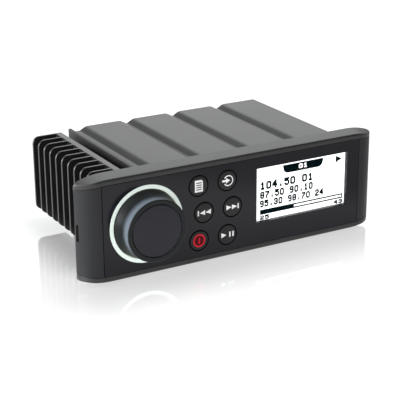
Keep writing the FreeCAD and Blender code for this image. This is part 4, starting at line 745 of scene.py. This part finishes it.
SCREWS = {  # where the seats are, and where the heads point
    "rear_screws": [((x, 92, z), (0, 1, 0)) for x in (-41.75, 59.75) for z in (9.81, 39.59)],
    "lid_screws": [((65.7, y, 39.6), (1, 0, 0)) for y in (31, 76)],
    "housing_screws": ([((x, 10.7, 4.6), (0, 0, -1)) for x in (-33.1, 51.1)]
                       + [((64.5, 10.7, z), (1, 0, 0)) for z in (15, 33.4)]),
}
black_zinc = plated("black_zinc", shade=0.12, roughness=0.3)
for node, places in SCREWS.items():
    parts = [screw(at(*place), towards) for place, towards in places]
    alone(parts[0])
    for part in parts[1:]:
        part.select_set(True)
    bpy.ops.object.join()
    parts[0].name = node + ".finished"
    parts[0].data.materials.append(black_zinc)
    handed_in(parts[0], "root", "screws", node)
finished("heatsink_screws", black_zinc)
finished("board_screws", zinc)
brass = plated("brass_turned", shade=0.6, roughness=0.3, tint=(1, 0.78, 0.42))
finished("board_standoffs", brass)

# The rear sockets: a nickel plated aerial socket, a block of four gold plated phono sockets
# with red and white insulators in their mouths, a folded steel USB shell, and the loom
# socket of black nylon with its gold plated pins.
connector_black = moulded("connector_black", shade=0.02, roughness=0.4)
socket_nickel = plated("socket_nickel", shade=0.42, roughness=0.38)
gold = plated("gold_plate", shade=0.72, roughness=0.32, tint=(1, 0.76, 0.38))
dressed("antenna_socket", "root", socket_nickel, edge=0.12)
dressed("phono_block", "root", connector_black, edge=0.25)
dressed("phono_sockets", "root", gold, edge=0.12)
SOCKET_RADIUS, INSULATOR_RADIUS, INSULATOR_BORE, INSULATOR_THICK = 4.15, 3.2, 1.75, 0.5
red_plastic = moulded("phono_red", shade=0.4, roughness=0.4, tint=(1, 0.05, 0.04),
                      depth=0.003)
white_plastic = moulded("phono_white", shade=0.5, roughness=0.4, depth=0.003)
inward = Vector((SOCKET_RADIUS, 0, SOCKET_RADIUS)) * MM
low_middle, high_middle = (corner + step for corner, step in
                           zip(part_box("phono_sockets"), (inward, -inward)))
for side, x, plastic in (("right", low_middle.x, red_plastic),
                         ("left", high_middle.x, white_plastic)):
    for row, z in (("upper", high_middle.z), ("lower", low_middle.z)):
        rings = [arc(0, 0, INSULATOR_RADIUS), arc(0, 0, INSULATOR_BORE)]
        insulator = placed(drawn(f"phono_insulator_{side}_{row}", rings, INSULATOR_THICK),
                           (x, high_middle.y, z))
        shaped(insulator, "BEVEL", width=0.12 * MM, segments=2, limit_method="ANGLE")
        smoothed(insulator)
        insulator.data.materials.append(plastic)
        handed_in(insulator, "root", "phono_block")
dressed("usb_socket", "root", plated("usb_steel", shade=0.7, roughness=0.28), edge=0.08)
dressed("loom_socket", "root", connector_black, edge=0.2)
dressed("loom_pins", "root", gold, edge=0.15)

# The blade fuse: a moulded case of amber plastic, pushed into a black holder above the
# loom socket.
fuse_amber = moulded("fuse_amber", shade=0.55, roughness=0.2, tint=(1, 0.34, 0.03),
                     depth=0.003)
dressed("blade_fuse", "root", fuse_amber, edge=0.15)
dressed("fuse_holder", "root", connector_black, edge=0.2)

# On the main board: epoxy packages, a clamp of spring steel, sleeved capacitors, a choke
# wound with copper wire, and the tuner's tinned can.
epoxy = moulded("black_epoxy", shade=0.02, roughness=0.5, grain=0.2)
finished("amplifier_chips", epoxy)
finished("control_chip", epoxy)
finished("chip_clamp", zinc)
finished("tuner_can", plated("tinned_can", shade=0.75, roughness=0.25))
sleeve = Finish("capacitor_sleeve")
stripe = sleeve.noise(2, 1, (1, 1, 0.02))
rise = sleeve.dot(sleeve.place(), (0, 0, 1))
SLEEVE_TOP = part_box("filter_capacitors")[1].z - 0.4 * MM
metal_top = sleeve.ramp(rise, SLEEVE_TOP, SLEEVE_TOP + 0.2 * MM)
sleeve.vary(
    Base_Color=sleeve.mix(metal_top, (0.012, 0.013, 0.03, 1), grey(0.7)),
    Metallic=metal_top, Roughness=sleeve.uneven(0.325, (stripe, 0.15)))
finished("filter_capacitors", sleeve.material)


def banded(finish, scale, settings, distortion=0.0):
    """Bands or rings. They are a millimetre apart at a scale of 314, and closer above it."""
    return finish.node("TexWave", settings,
                       {"Vector": finish.place(), "Scale": scale, "Distortion": distortion})


copper = Finish("choke_copper", Metallic=1.0)
windings = banded(copper, 900.0, {"wave_type": "RINGS", "rings_direction": "Z"}, 0.4)
copper.vary(
    Base_Color=copper.mix(windings, (0.25, 0.08, 0.03, 1), (0.8, 0.36, 0.18, 1)),
    Roughness=copper.uneven(0.3, (windings, 0.1)), Normal=copper.relief(windings, 0.15))
finished("power_choke", copper.material)

# The ribbon between the boards: flat grey vinyl cable with its cores showing, pressed into
# two headers of white nylon.
ribbon = Finish("ribbon_vinyl")
cores = banded(ribbon, 250.0, {"bands_direction": "X"})
ribbon.vary(
    Base_Color=ribbon.mix(cores, grey(0.28), grey(0.42)),
    Roughness=ribbon.uneven(0.425, (cores, 0.05)), Normal=ribbon.relief(cores, 0.2))
header_nylon = moulded("header_nylon", shade=0.6, roughness=0.45, tint=(1, 0.97, 0.9))
finished("ribbon_cable", ribbon.material)
finished("ribbon_headers", header_nylon)
